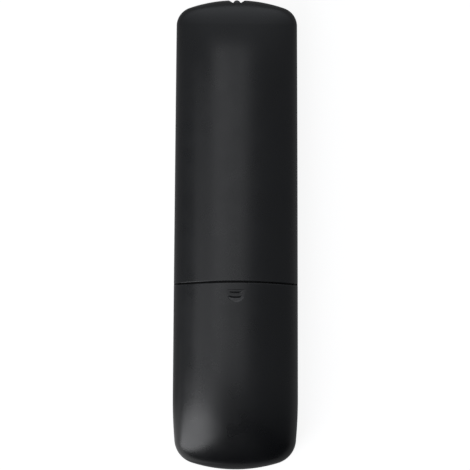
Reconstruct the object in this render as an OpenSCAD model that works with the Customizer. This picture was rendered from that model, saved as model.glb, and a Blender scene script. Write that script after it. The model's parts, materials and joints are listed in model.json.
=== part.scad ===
// Universal remote control, lying face down as it is put on a table.
// +Z points out of the back, +Y towards the infra-red end, and the rest pads stand on z = 0.
// Front and rear shells close on a flat split plane, and a cover slides off the tail.

/* [Body outline] */
// Overall length
body_l = 188; // [184:1:200]
// Greatest width, near the tail
body_w = 50.2; // [50:0.2:54]
// Distance from the tail end to the widest place
wide_from_tail = 28; // [26:1:32]
// Plan radius of the infra-red end
nose_r = 58; // [50:1:75]
// Plan radius of the tail end
tail_r = 58; // [50:1:75]
// Corner radius at the infra-red end
nose_corner_r = 7.6; // [7:0.2:10]
// Corner radius at the tail
tail_corner_r = 10; // [9:0.5:12]
// Radius at which the flanks draw in towards the tail
tail_flank_r = 190; // [150:5:400]
// Radius of the long flank towards the infra-red end
long_flank_r = 60000; // [40000:5000:90000]
// Taper of the long flank where it starts, in degrees
flank_taper = 0.3; // [0.2:0.05:0.4]

/* [Back] */
// Exponent of the cross-section curve, 2 is an ellipse
crown_power = 2.4; // [2.2:0.1:2.8]
// Length over which the back rolls down to the infra-red end
nose_roll = 28; // [22:1:36]
// Length over which the back rolls down to the tail
tail_roll = 45; // [40:1:48]
// Exponent of the roll down to the tail, 2 is an ellipse
tail_power = 2.6; // [2.4:0.1:3]
// Slope at which the back falls from the seam towards the infra-red end
back_slope = 0.018; // [0:0.002:0.03]
// Distance from the tail end to the middle of the cover seam
cover_l = 75.4; // [74:0.2:80]
// Plan radius of the cover seam
seam_r = 240; // [150:10:400]
// Width of the cover seam
seam_gap = 0.6; // [0.3:0.05:0.8]
// Distance from the seam to the straight edge of the thumb recess
thumb_from_seam = 3; // [2.6:0.1:6]
// Half the width of the thumb recess
thumb_r = 4; // [3:0.1:5]
// Length of the thumb recess, from its straight edge to its round one
thumb_l = 5.2; // [4:0.1:6]
// Depth of the thumb recess
thumb_rim = 0.2; // [0.1:0.05:0.4]
// Depth of the grip grooves in the thumb recess
thumb_depth = 0.7; // [0.5:0.1:1]

/* [Walls] */
// Wall of the rear shell and of the cover
wall = 1.8; // [1.6:0.1:2]
// Wall of the front shell
front_wall = 2; // [1.8:0.1:2.2]
// Thickness of the key panel
panel_t = 1.8; // [1.4:0.1:2.2]
// Rounding of the front edge
edge_r = 4; // [3:0.2:5]
// Draft of the front flank, over its whole height
front_draft = 0.35; // [0.1:0.05:0.6]
// Width of the ledge that carries the circuit board
ledge_w = 1.4; // [1:0.1:1.8]
// Thickness of the lip, the ribs and the tray walls
rib_t = 1.4; // [1.2:0.1:1.6]
// Thickness of the tray floor
floor_t = 1; // [0.8:0.1:1.4]

/* [Keys] */
// Height of the keys above the panel
key_proud = 1.3; // [0.8:0.1:2]
// Travel of a key
key_travel = 0.8; // [0.5:0.1:1]
// Width of the retaining flange round a key
flange_w = 0.8; // [0.6:0.1:0.9]
// Thickness of the retaining flange
flange_t = 1; // [0.8:0.1:1.4]
// Tilt of a rocker key each way, in degrees
rocker_tilt = 3; // [1:0.5:3]
// Sideways pitch of the key columns, as a share of the width
column_share = 0.259; // [0.252:0.001:0.266]
// Lengthways pitch of the key rows, as a share of the length
row_share = 0.0532; // [0.0512:0.0002:0.055]
// Width of an oblong key
pad_w = 9.6; // [8:0.2:10]
// Height of an oblong key
pad_h = 6.4; // [5:0.2:6.8]
// Corner radius of an oblong key
pad_corner_r = 2.4; // [1:0.2:2.4]
// Length of a rocker key
rocker_l = 21; // [18:1:22]
// Radius of a round key
round_r = 3.6; // [3:0.2:4]
// Outer radius of the direction keys
ring_r = 14; // [13:0.2:14.4]
// Inner radius of the direction keys
ring_in_r = 8.2; // [8:0.2:8.8]
// Radius of the middle key
ok_r = 5; // [4.4:0.2:5]

/* [Electronics] */
// Thickness of the circuit board
board_t = 1.6; // [1:0.2:1.6]
// Thickness of the silicone dome sheet
sheet_t = 1; // [0.8:0.1:1.2]
// Radius of a silicone dome at its foot
dome_r = 2.4; // [2.2:0.1:2.6]
// Radius of the infra-red diode
led_r = 1.5; // [1.4:0.1:1.6]
// Half the width of the scallop round the diode, at the end face
scallop_r = 3.4; // [2.8:0.1:4]
// Depth of the scallop
scallop_depth = 1.2; // [0.8:0.1:1.5]

/* [Cells] */
// Diameter of an AAA cell
cell_d = 10.5; // [10:0.1:10.5]
// Length of an AAA cell over its button
cell_l = 44.5; // [43.5:0.1:44.5]
// Length of a battery spring with the cell in place
spring_l = 4.5; // [4:0.1:5]
// Turns of a battery spring
spring_turns = 3; // [2:1:3]

/* [Hidden] */
$fn = 48;
eps = 0.01;

// Named clearances
split_gap = 0.3;
cover_gap = 0.35;
key_shy = 0.2;
key_gap = 0.3;
key_play = 0.2;
pad_gap = 0.1;
dome_gap = 0.08;
sheet_gap = 0.3;
fit_gap = 0.25;
led_gap = 0.25;
led_seat = 0.05;
cell_gap = 0.3;
cell_seat = 0.15;
cell_head = 0.3;
contact_gap = 0.1;
rail_gap = 0.3;
rail_clear = 0.7;
tail_clear = 0.6;
screw_gap = 0.15;
solder_gap = 1.2;

// Heights from the table up to the crown of the back
panel_z = key_shy + key_proud;
panel_in_z = panel_z + panel_t;
flange_z = panel_in_z + key_play;
flange_top_z = flange_z + flange_t;
sheet_z = flange_top_z + key_travel + sheet_gap;
board_z = sheet_z + sheet_t;
board_top_z = board_z + board_t;
led_rim_r = led_r + 0.4;
split_z = board_top_z + led_rim_r + led_seat;
floor_z = board_top_z + solder_gap;
floor_top_z = floor_z + floor_t;
cell_z = floor_top_z + cell_seat + cell_d / 2;

// Lengthways places
nose_y = body_l / 2;
tail_y = -body_l / 2;
seam_y = tail_y + cover_l;
wide_y = tail_y + wide_from_tail;

// Plan outline: arcs of the right half from the tail to the infra-red end, tangent to one another
half_w = body_w / 2;
tail_c = [0, tail_y + tail_r];
nose_c = [0, nose_y - nose_r];
tail_flank_c = [half_w - tail_flank_r, wide_y];
long_flank_c = tail_flank_c - (long_flank_r - tail_flank_r) * [cos(flank_taper), sin(flank_taper)];
tail_corner_c = meet(tail_c, tail_r - tail_corner_r, tail_flank_c, tail_flank_r - tail_corner_r, 1);
nose_corner_c = meet(nose_c, nose_r - nose_corner_r, long_flank_c, long_flank_r - nose_corner_r, -1);
tail_a = bearing(tail_c, tail_corner_c);
tail_flank_a = bearing(tail_flank_c, tail_corner_c);
long_flank_a = bearing(long_flank_c, nose_corner_c);
nose_a = bearing(nose_c, nose_corner_c);
END_STEPS = 8;
CORNER_STEPS = 8;
FLANK_STEPS = 4;
LONG_STEPS = 14;
CROWN_STEPS = 24;
EDGE_STEPS = 5;
HALF = concat(
    arc(tail_c, tail_r, -90, tail_a, END_STEPS),
    arc(tail_corner_c, tail_corner_r, tail_a, tail_flank_a, CORNER_STEPS),
    arc(tail_flank_c, tail_flank_r, tail_flank_a, flank_taper, FLANK_STEPS),
    arc(long_flank_c, long_flank_r, flank_taper, long_flank_a, LONG_STEPS),
    arc(nose_corner_c, nose_corner_r, long_flank_a, nose_a, CORNER_STEPS),
    arc(nose_c, nose_r, nose_a, 90, END_STEPS),
    [[0, nose_y, 0, 1]]
);

// Battery tray, from the bulkhead under the seam towards the tail
seam_half_w = flank_x(seam_y);
shoulder_in = wall + cover_gap;
shoulder_l = 3;
bulkhead_from_seam = 3.6;
bulkhead_y = seam_y - bulkhead_from_seam;
bay_y = bulkhead_y - rib_t;
contact_t = 0.4;
contact_w = 8.6;
bay_l = 2 * contact_t + 2 * contact_gap + cell_l + spring_l;
bay_end_y = bay_y - bay_l;
cell_pitch = cell_d + 2 * cell_gap + 0.4;
bay_half_w = cell_pitch / 2 + cell_d / 2 + cell_gap;
divider_t = 0.8;
divider_h = 2.4;
rail_x = seam_half_w - wall - rail_clear;
rail_w = 1.5;
rail_t = 1.2;
tray_x = rail_x - rail_w;
rail_z = split_z + 1.5;
rail_end_y = tail_y + 18;
tray_end_y = tail_y + 12;
RUNNERS = [0.15, 0.5, 0.85];
runner_l = 8;

// Grip grooves in the thumb recess: place as a share of its length, bend radius, share of its width
grip_w = 0.9;
THUMB_GRIPS = [[0.24, 20, 0.6], [0.61, 7.5, 0.8]];

// Crown, high enough over the tail end of the cells
cell_share = arch(cell_pitch / 2 / (seam_half_w - wall), crown_power) * roll(bay_end_y, wall);
crown_h = (cell_z + cell_d / 2 + cell_head - split_z) / cell_share + wall;
crown_z = split_z + crown_h;

// Screws under the cover, behind the cells
screw_from_tail = 14;
screw_from_wall = 3.2;
screw_x = tray_x - rib_t - screw_from_wall;
screw_y = tail_y + screw_from_tail;
screw_r = 1.1;
screw_head_r = 2.2;
screw_head_h = 1.6;
screw_l = 5.6;
boss_r = 3;
SCREWS = [[-screw_x, screw_y], [screw_x, screw_y]];

// Keys: name, kind, place across as seen from the front, distance from the infra-red end, size, colour
column = column_share * body_w;
row = row_share * body_l;
first_row = 16;
digit_row = 30;
rocker_row = digit_row + 3 * row + rocker_l / 2 + 6.5;
pad_row = rocker_row + rocker_l / 2 + 5.5 + ring_r;
colour_row = pad_row + ring_r + 9;
play_row = colour_row + row;
corner_r = round_r - 0.4;
corner_x = half_w - front_wall - ledge_w - flange_w - 1.5 - corner_r;
corner_y = 13.2;
ring_slot = 1.4;
rocker_w = 9;
colour_pitch = 0.75 * column;
colour_w = colour_pitch - 2.75;
colour_h = 4;

// Soft rest pads let into the panel between the keys and both ends: place, width, height
pad_seat = 0.6;
flat_end = front_draft + edge_r;
key_top_end = first_row - round_r - flange_w;
key_low_end = play_row + row + pad_h / 2 + flange_w;
PADS = [
    [nose_y - (flat_end + key_top_end) / 2, 1.5 * column, 0.58 * (key_top_end - flat_end)],
    [nose_y - (key_low_end + body_l - flat_end) / 2, 2 * column, 0.27 * (body_l - flat_end - key_low_end)]
];

// Setup lamp
lamp_from_nose = 14.5;
lamp_r = 1;
lamp_rim_r = 1.3;
lamp_rim_t = 0.8;

// Colours of the keys, and their names in reading order
DARK = [0.13, 0.13, 0.14];
GREY = [0.33, 0.34, 0.36];
RED = [0.72, 0.1, 0.1];
DIGITS = ["key_1", "key_2", "key_3", "key_4", "key_5", "key_6", "key_7", "key_8", "key_9",
    "key_list", "key_0", "key_recall"];
ARROWS = ["key_up", "key_right", "key_down", "key_left"];
CORNERS = ["key_menu", "key_guide", "key_exit", "key_info"];
COLOURS = ["key_red", "key_green", "key_yellow", "key_blue"];
COLOUR_TINTS = [RED, [0.1, 0.45, 0.2], [0.85, 0.7, 0.1], [0.1, 0.25, 0.6]];
PLAYS = ["key_rewind", "key_play", "key_forward", "key_record", "key_pause", "key_stop"];
KEYS = concat(
    [["key_power", "round", -column, first_row, round_r, RED]],
    [["key_source", "round", column, first_row, round_r, GREY]],
    [for (i = [0:11])
        [DIGITS[i], "pad", (i % 3 - 1) * column, digit_row + floor(i / 3) * row, [pad_w, pad_h], GREY]],
    [["key_volume", "rocker", -column, rocker_row, [rocker_w, rocker_l], GREY]],
    [["key_mute", "round", 0, rocker_row, round_r, GREY]],
    [["key_channel", "rocker", column, rocker_row, [rocker_w, rocker_l], GREY]],
    [for (i = [0:3]) [ARROWS[i], "arrow", 0, pad_row, 90 * i, DARK]],
    [["key_ok", "round", 0, pad_row, ok_r, GREY]],
    [for (i = [0:3])
        [CORNERS[i], "round", (i % 2 * 2 - 1) * corner_x, pad_row + (floor(i / 2) * 2 - 1) * corner_y,
            corner_r, GREY]],
    [for (i = [0:3])
        [COLOURS[i], "pad", (i - 1.5) * colour_pitch, colour_row, [colour_w, colour_h], COLOUR_TINTS[i]]],
    [for (i = [0:5])
        [PLAYS[i], "pad", (i % 3 - 1) * column, play_row + floor(i / 3) * row, [pad_w, pad_h], GREY]]
);
sheet_end = play_row + row + pad_h / 2 + 3;
board_end_y = screw_y + boss_r + 1;

// Places of the components, as shares of the way from the seam to the infra-red end
rib_places = [0.265, 0.585];
chip_place = 0.425;
resonator_place = 0.39;
can_place = 0.44;
driver_place = 0.73;
small_places = [0.67, 0.8];

// Silicone domes: one under each key, two under each rocker
dome_tip_r = dome_r - 0.5;
dome_bore_r = dome_r - 0.7;
dome_cap_t = 0.8;
pill_r = dome_bore_r - 0.4;
pill_t = 0.4;
rocker_dome = rocker_l / 3;
arrow_dome = (ring_r + ring_in_r) / 2;
DOMES = [for (k = KEYS) each dome_places(k)];

// Middle line of a battery spring along +Y: a straight end, a coil that narrows, a straight end
wire_r = 0.25;
coil_r0 = 3.2;
coil_r1 = 2.2;
coil_run = spring_l - 4 * wire_r;
RINGS_PER_TURN = 8;
SIDES = 6;
coil_rings = spring_turns * RINGS_PER_TURN;
COIL = concat(
    [[coil_r0, -contact_t / 2, 0]],
    [for (i = [0:coil_rings])
        let (f = i / coil_rings, r = coil_r0 + (coil_r1 - coil_r0) * f, a = 360 * spring_turns * f)
        [r * cos(a), 2 * wire_r + coil_run * f, r * sin(a)]],
    [[coil_r1, spring_l, 0]]
);
COIL_GAP = min([for (i = [0:len(COIL) - 1], j = [i + RINGS_PER_TURN - 2:1:len(COIL) - 1])
    norm(COIL[j] - COIL[i])]) - 2 * wire_r;
echo(least_spring_gap = COIL_GAP);

// Where two circles cross, on the side that is asked for
function meet(ca, ra, cb, rb, side) =
    let (gap = cb - ca, d = norm(gap), along = (ra * ra - rb * rb + d * d) / (2 * d))
    let (off = sqrt(ra * ra - along * along))
    ca + along / d * gap + side * off / d * [-gap.y, gap.x];

function bearing(from, to) = atan2(to.y - from.y, to.x - from.x);

// Points of an arc, without its last one, each with its outward normal
function arc(c, r, a0, a1, steps) =
    [for (i = [0:steps - 1])
        let (a = a0 + (a1 - a0) * i / steps)
        [c.x + r * cos(a), c.y + r * sin(a), cos(a), sin(a)]];

// Half-width of the plan outline on the long flank
function flank_x(y) = long_flank_c.x + sqrt(pow(long_flank_r, 2) - pow(y - long_flank_c.y, 2));

function inset(p, d) = [p[0] - d * p[2], p[1] - d * p[3]];

// Closed plan outline, drawn in by d
function outline(d) = concat(
    [for (p = HALF) inset(p, d)],
    [for (i = [len(HALF) - 2:-1:1]) let (q = inset(HALF[i], d)) [-q.x, q.y]]
);

// Share of the crown's height that the roll down to either end leaves
function roll(y, d) =
    let (n = max(0, (y - nose_y + nose_roll) / (nose_roll - d)))
    let (t = max(0, (tail_y + tail_roll - y) / (tail_roll - d)))
    sqrt(max(0, 1 - n * n)) * arch(t, tail_power);

// Height of a superellipse of the given power over its half-width 1, at t
function arch(t, power) = pow(max(0, 1 - pow(t, power)), 1 / power);

// Height of the back above the split plane on the middle line, drawn in by d
function roof(y, d) = (crown_h - d - back_slope * max(0, y - seam_y)) * roll(y, d);

// Cross-section of the back: a superellipse from the right flank over the crown to the left
function crown_curve(x, h, skirt) = concat(
    skirt > 0 ? [[x, split_z - skirt]] : [],
    [for (i = [0:CROWN_STEPS])
        let (t = 180 * i / CROWN_STEPS, c = cos(t))
        [x * sign(c) * pow(abs(c), 2 / crown_power), split_z + h * pow(sin(t), 2 / crown_power)]],
    skirt > 0 ? [[-x, split_z - skirt]] : []
);

// Triangles between rings of m points that follow one another
function band_faces(rings, m) =
    [for (j = [0:rings - 2], i = [0:m - 1])
        let (k = (i + 1) % m, a = j * m, b = a + m)
        each [[a + i, a + k, b + k], [a + i, b + k, b + i]]];

function board_y(share) = seam_y + share * (nose_y - seam_y);

function place(k) = [-k[2], nose_y - k[3]];

function dome_places(k) =
    k[1] == "rocker" ? [for (s = [-1, 1]) place(k) + [0, s * rocker_dome]]
    : k[1] == "arrow" ? [place(k) + arrow_dome * [-sin(k[4]), cos(k[4])]]
    : [place(k)];

// Solid under the back, drawn in by d: cross-sections lofted from one end to the seam and a bit past it
module back_form(d, skirt, to_tail) {
    reach = 14;
    stations = [for (i = [1:len(HALF) - 2])
        let (p = inset(HALF[i], d))
        if (to_tail ? p.y < seam_y + reach : p.y > seam_y - reach) p];
    rings = [for (p = stations) [for (q = crown_curve(p.x, roof(p.y, d), skirt)) [q.x, p.y, q.y]]];
    m = len(rings[0]);
    n = len(rings);
    tip = [0, to_tail ? tail_y + d : nose_y - d, split_z];
    last = (n - 1) * m;
    start = to_tail ? [for (i = [0:m - 1]) [n * m, (i + 1) % m, i]] : [[for (i = [m - 1:-1:0]) i]];
    end = to_tail ? [[for (i = [0:m - 1]) last + i]]
        : [for (i = [0:m - 1]) [last + i, last + (i + 1) % m, n * m]];
    polyhedron(points = concat([for (r = rings) each r], [tip]),
        faces = concat(start, band_faces(n, m), end), convexity = 6);
}

// Slice of the back's inside, with a constant section taken at y, from y0 to y1
module back_slice(y, d, skirt, y0, y1) {
    translate([0, y1, 0])
        rotate([90, 0, 0])
            linear_extrude(y1 - y0)
                polygon(crown_curve(flank_x(y) - d, roof(y, d), skirt));
}

// Everything on the tail side of the seam, grown by d
module tail_side(d) {
    translate([0, seam_y - seam_r, 0])
        cylinder(r = seam_r + d, h = crown_z + 1, $fn = 180);
}

// Scallop down the end face with the diode's opening in it, and room behind for the diode's rim
module led_opening() {
    hole_r = led_r + led_gap;
    translate([0, nose_y, 0])
        linear_extrude(crown_z)
            polygon([
                [-scallop_r, eps], [-hole_r, -scallop_depth], [hole_r, -scallop_depth], [scallop_r, eps]
            ]);
    translate([0, nose_y, split_z])
        rotate([90, 0, 0])
            cylinder(r = hole_r, h = wall + ledge_w + 4);
    translate([0, nose_y - front_wall - fit_gap / 2, split_z])
        rotate([90, 0, 0])
            cylinder(r = led_rim_r + led_gap, h = 8);
}

// Shallow half-moon that the thumb pushes, with two curved grip grooves cut into its floor
module thumb_recess() {
    translate([0, seam_y - thumb_from_seam, crown_z]) {
        translate([0, 0, -thumb_rim])
            linear_extrude(2)
                intersection() {
                    scale([1, thumb_l / thumb_r])
                        circle(r = thumb_r);
                    translate([-thumb_r, -2 * thumb_l])
                        square([2 * thumb_r, 2 * thumb_l]);
                }
        for (grip = THUMB_GRIPS)
            translate([0, 0, -thumb_depth])
                linear_extrude(2)
                    intersection() {
                        translate([0, grip[1] - grip[0] * thumb_l])
                            difference() {
                                circle(r = grip[1] + grip_w / 2, $fn = 96);
                                circle(r = grip[1] - grip_w / 2, $fn = 96);
                            }
                        translate([-grip[2] * thumb_r, -thumb_l])
                            square([2 * grip[2] * thumb_r, thumb_l]);
                    }
    }
}

// Lip inside the front shell, which holds the board down on its ledge
module board_lip() {
    for (part = [[wall - 0.6, split_z, split_z + rib_t], [front_wall + fit_gap, board_top_z, split_z + eps]])
        translate([0, 0, part[1]])
            linear_extrude(part[2] - part[1])
                difference() {
                    polygon(outline(part[0]));
                    polygon(outline(front_wall + fit_gap + rib_t));
                    translate([-body_w, tail_y - 1])
                        square([2 * body_w, cover_l + 1 + shoulder_l]);
                }
}

// Cross ribs of the rear shell, which bear on the board
module cross_ribs() {
    rib_x = 0.65 * half_w;
    for (share = rib_places) {
        y = board_y(share);
        intersection() {
            back_slice(y, wall / 2, split_z - board_top_z, y, y + rib_t);
            translate([-rib_x, y - eps, 0])
                cube([2 * rib_x, rib_t + 2 * eps, crown_z]);
        }
    }
}

// Shoulder under the cover's edge, closed by the bulkhead of the battery bay
module shoulder() {
    deep = shoulder_in + rib_t;
    difference() {
        union() {
            back_slice(seam_y, shoulder_in, 0, bay_y, seam_y + shoulder_l);
            back_slice(seam_y, wall / 2, 0, seam_y + shoulder_l / 3, seam_y + shoulder_l);
        }
        back_slice(seam_y, deep, 1, bulkhead_y, seam_y + shoulder_l + 1);
    }
}

module tray_floor() {
    translate([0, 0, floor_z])
        linear_extrude(floor_t)
            difference() {
                intersection() {
                    polygon(outline(wall + tail_clear));
                    translate([-tray_x, tail_y])
                        square([2 * tray_x, bulkhead_y - tail_y]);
                }
                for (s = SCREWS)
                    translate(s)
                        circle(r = screw_r + screw_gap);
                for (side = [-1, 1])
                    translate([side * cell_pitch / 2 - 1.4, bay_y - contact_t - contact_gap])
                        square([2.8, contact_t + contact_gap]);
            }
}

module tray_walls() {
    wall_top = cell_z + 1;
    for (side = [-1, 1]) {
        translate([side * (tray_x - rib_t / 2) - rib_t / 2, tray_end_y, board_top_z])
            cube([rib_t, bulkhead_y - tray_end_y, rail_z + rail_t - board_top_z]);
        translate([side * (rail_x + tray_x - rib_t) / 2 - (rail_w + rib_t) / 2, rail_end_y, rail_z])
            cube([rail_w + rib_t, bay_y + eps - rail_end_y, rail_t]);
        translate([side * (bay_half_w + rib_t / 2) - rib_t / 2, bay_end_y - rib_t, floor_z])
            cube([rib_t, bay_l + rib_t + eps, wall_top - floor_z]);
    }
    translate([-bay_half_w - rib_t, bay_end_y - rib_t, floor_z])
        cube([2 * (bay_half_w + rib_t), rib_t, wall_top - floor_z]);
    translate([-divider_t / 2, bay_end_y + spring_l + 3, floor_z])
        cube([divider_t, bay_l - 2 * spring_l - 6, floor_t + divider_h]);
}

module rear_shell() {
    color([0.16, 0.16, 0.17]) {
        difference() {
            union() {
                difference() {
                    back_form(0, 0, false);
                    back_form(wall, 1, false);
                    tail_side(seam_gap / 2);
                }
                board_lip();
            }
            led_opening();
        }
        cross_ribs();
        shoulder();
        tray_floor();
        tray_walls();
    }
}

// Runners inside the cover's flanks, which hook under the rails of the tray
module cover_runners() {
    x = tray_x + rail_gap;
    span = bay_y - rail_end_y - runner_l;
    for (side = [0, 1], at = RUNNERS)
        mirror([side, 0, 0])
            translate([x, rail_end_y + at * span, split_z + rail_gap])
                cube([half_w - x, runner_l, rail_z - split_z - 2 * rail_gap]);
}

module battery_cover() {
    color([0.16, 0.16, 0.17])
        intersection() {
            difference() {
                back_form(0, 0, true);
                difference() {
                    back_form(wall, 1, true);
                    cover_runners();
                }
                thumb_recess();
            }
            tail_side(-seam_gap / 2);
        }
}

// Outer form of the front shell: plan outlines stacked round the front edge and up the flank
module front_form() {
    levels = concat(
        [for (i = [0:EDGE_STEPS])
            let (a = 90 * i / EDGE_STEPS)
            [panel_z + edge_r * (1 - cos(a)), front_draft + edge_r * (1 - sin(a))]],
        [[split_z - split_gap, 0]]
    );
    rings = [for (v = levels) [for (p = outline(v[1])) [p.x, p.y, v[0]]]];
    m = len(rings[0]);
    n = len(rings);
    bottom = [for (i = [0:m - 1]) i];
    top = [for (i = [m - 1:-1:0]) (n - 1) * m + i];
    flanks = [for (f = band_faces(n, m)) [f[0], f[2], f[1]]];
    polyhedron(points = [for (r = rings) each r], faces = concat([bottom], flanks, [top]), convexity = 6);
}

module screw_bosses() {
    for (s = SCREWS)
        translate([s.x, s.y, panel_in_z - eps])
            difference() {
                cylinder(r = boss_r, h = floor_z - panel_in_z + eps);
                translate([0, 0, 0.6])
                    cylinder(r = screw_r + screw_gap / 2, h = floor_z);
            }
}

module front_shell() {
    color([0.14, 0.14, 0.15]) {
        difference() {
            front_form();
            translate([0, 0, panel_in_z])
                linear_extrude(board_z - panel_in_z + eps)
                    polygon(outline(front_wall + ledge_w));
            translate([0, 0, board_z])
                linear_extrude(crown_z)
                    polygon(outline(front_wall));
            for (k = KEYS)
                translate([place(k).x, place(k).y, -eps])
                    linear_extrude(panel_in_z + 2 * eps)
                        key_shape(k, key_gap);
            translate([0, nose_y - lamp_from_nose, -eps])
                cylinder(r = lamp_r + led_gap, h = panel_in_z + 2 * eps);
            for (p = PADS)
                translate([0, p[0], 0])
                    linear_extrude(panel_z + pad_seat)
                        pad_shape(p, pad_gap);
            led_opening();
        }
        screw_bosses();
    }
}

module rounded(w, h, r) {
    square([w - 2 * r, h], center = true);
    square([w, h - 2 * r], center = true);
    for (x = [-1, 1], y = [-1, 1])
        translate([x * (w / 2 - r), y * (h / 2 - r)])
            circle(r = r);
}

module pad_shape(p, d) {
    rounded(p[1] + 2 * d, p[2] + 2 * d, p[2] / 2 - pad_gap + d);
}

// Outline of a key, grown all round by d
module key_shape(k, d) {
    if (k[1] == "round")
        circle(r = k[4] + d);
    else if (k[1] == "arrow")
        rotate(k[4] + 90)
            intersection() {
                difference() {
                    circle(r = ring_r + d, $fn = 96);
                    circle(r = ring_in_r - d);
                }
                translate([(ring_slot / 2 - d) * sqrt(2), 0])
                    polygon([[0, 0], [2 * ring_r, 2 * ring_r], [2 * ring_r, -2 * ring_r]]);
            }
    else {
        r = k[1] == "rocker" ? rocker_w / 2 - 0.3 : min(pad_corner_r, k[4].y / 2 - 0.2);
        rounded(k[4].x + 2 * d, k[4].y + 2 * d, r + d);
    }
}

// Key cap with its retaining flange; a rocker's flange falls away to both ends so that it can tilt
module key_cap(k) {
    color(k[5])
        translate([place(k).x, place(k).y, 0]) {
            translate([0, 0, key_shy])
                linear_extrude(flange_top_z - key_shy)
                    key_shape(k, 0);
            if (k[1] == "rocker") {
                reach = k[4].y / 2 + flange_w;
                fall = reach * tan(rocker_tilt) + key_play / 4;
                intersection() {
                    translate([0, 0, flange_z])
                        linear_extrude(flange_t)
                            key_shape(k, flange_w);
                    translate([-rocker_w, 0, 0])
                        rotate([90, 0, 90])
                            linear_extrude(2 * rocker_w)
                                polygon([[0, flange_z], [reach + 1, flange_z + fall],
                                    [reach + 1, flange_top_z + 1], [-reach - 1, flange_top_z + 1],
                                    [-reach - 1, flange_z + fall]]);
                }
            } else
                translate([0, 0, flange_z])
                    linear_extrude(flange_t)
                        key_shape(k, k[1] == "arrow" ? ring_slot / 4 : flange_w);
        }
}

module rest_pads() {
    color([0.1, 0.1, 0.1])
        for (p = PADS)
            translate([0, p[0], 0])
                linear_extrude(panel_z + pad_seat - pad_gap)
                    pad_shape(p, 0);
}

// Setup lamp, standing on the board's front and ending flush in the panel
module status_led() {
    color([0.75, 0.15, 0.12])
        translate([0, nose_y - lamp_from_nose, 0]) {
            translate([0, 0, panel_z - 0.3])
                cylinder(r = lamp_r, h = board_z - panel_z + 0.3);
            translate([0, 0, board_z - lamp_rim_t])
                cylinder(r = lamp_rim_r, h = lamp_rim_t);
        }
}

module dome_sheet() {
    color([0.55, 0.56, 0.58])
        difference() {
            union() {
                translate([0, 0, sheet_z])
                    linear_extrude(sheet_t)
                        difference() {
                            intersection() {
                                polygon(outline(front_wall + ledge_w + fit_gap));
                                translate([-body_w, nose_y - sheet_end])
                                    square([2 * body_w, sheet_end - lamp_from_nose + 6]);
                            }
                            translate([0, nose_y - lamp_from_nose])
                                circle(r = lamp_rim_r + fit_gap);
                        }
                for (d = DOMES)
                    translate([d.x, d.y, flange_top_z + dome_gap])
                        cylinder(r1 = dome_tip_r, r2 = dome_r, h = sheet_z + eps - flange_top_z - dome_gap);
            }
            for (d = DOMES)
                translate([d.x, d.y, flange_top_z + dome_gap + dome_cap_t])
                    cylinder(r = dome_bore_r, h = board_z - flange_top_z);
        }
}

module contact_pills() {
    color([0.08, 0.08, 0.08])
        for (d = DOMES)
            translate([d.x, d.y, flange_top_z + dome_gap + dome_cap_t])
                cylinder(r = pill_r, h = pill_t);
}

module circuit_board() {
    color([0.75, 0.6, 0.3])
        translate([0, 0, board_z])
            linear_extrude(board_t)
                intersection() {
                    polygon(outline(front_wall + fit_gap));
                    translate([-body_w, board_end_y])
                        square([2 * body_w, body_l]);
                }
}

// Infra-red diode: rim, body with a domed tip, and two leads bent down to the board
module ir_led() {
    rim_t = 1;
    body_y = 5.3;
    lead = 0.5;
    lead_run = 2.6;
    color([0.1, 0.09, 0.12])
        translate([0, nose_y, split_z]) {
            translate([0, -led_r, 0])
                sphere(r = led_r);
            rotate([90, 0, 0])
                translate([0, 0, led_r])
                    cylinder(r = led_r, h = body_y - led_r);
            rotate([90, 0, 0])
                translate([0, 0, body_y - rim_t])
                    cylinder(r = led_rim_r, h = rim_t);
            for (x = [-1.27, 1.27])
                translate([x - lead / 2, -body_y - lead_run, 0]) {
                    translate([0, 0, -lead / 2])
                        cube([lead, lead_run + lead, lead]);
                    translate([0, 0, board_top_z - split_z])
                        cube([lead, lead, split_z - board_top_z]);
                }
        }
}

// Controller in a flat package with a row of bent leads on each long side
module microcontroller() {
    w = 7.5;
    l = 18;
    h = 2.3;
    stand = 0.15;
    pins = 14;
    pitch = 1.27;
    color([0.1, 0.1, 0.1])
        translate([0, board_y(chip_place), board_top_z]) {
            translate([-w / 2, -l / 2, stand])
                cube([w, l, h]);
            for (side = [0, 1], i = [0:pins - 1])
                mirror([side, 0, 0])
                    translate([w / 2 - eps, (i - (pins - 1) / 2) * pitch - 0.2, 0]) {
                        translate([0, 0, 1])
                            cube([0.8, 0.4, 0.25]);
                        translate([0.55, 0, 0])
                            cube([0.25, 0.4, 1.25]);
                        translate([0.55, 0, 0])
                            cube([0.9, 0.4, 0.25]);
                    }
        }
}

module ceramic_resonator() {
    color([0.8, 0.55, 0.15])
        translate([-column, board_y(resonator_place), board_top_z])
            linear_extrude(5.5)
                rounded(3, 7, 1.2);
}

// Reservoir capacitor: can with a rolled groove and a narrower seal at its foot
module reservoir_capacitor() {
    can_r = 3.15;
    can_h = 7;
    color([0.15, 0.2, 0.4])
        translate([column, board_y(can_place), board_top_z])
            rotate_extrude()
                polygon([[0, 0], [can_r - 0.2, 0], [can_r, 0.4], [can_r, 1], [can_r - 0.35, 1.3],
                    [can_r, 1.6], [can_r, can_h - 0.3], [can_r - 0.3, can_h], [0, can_h]]);
}

// Driver transistor in a flat-faced round package, standing on three legs
module driver_transistor() {
    r = 2.4;
    flat = 1.2;
    leg = 0.45;
    color([0.1, 0.1, 0.1])
        translate([column, board_y(driver_place), board_top_z]) {
            translate([0, 0, 1.5])
                linear_extrude(4.8)
                    difference() {
                        circle(r = r);
                        translate([-r, flat])
                            square(2 * r);
                    }
            for (x = [-1.27, 0, 1.27])
                translate([x - leg / 2, -leg / 2, 0])
                    cube([leg, leg, 1.6]);
        }
}

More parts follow.
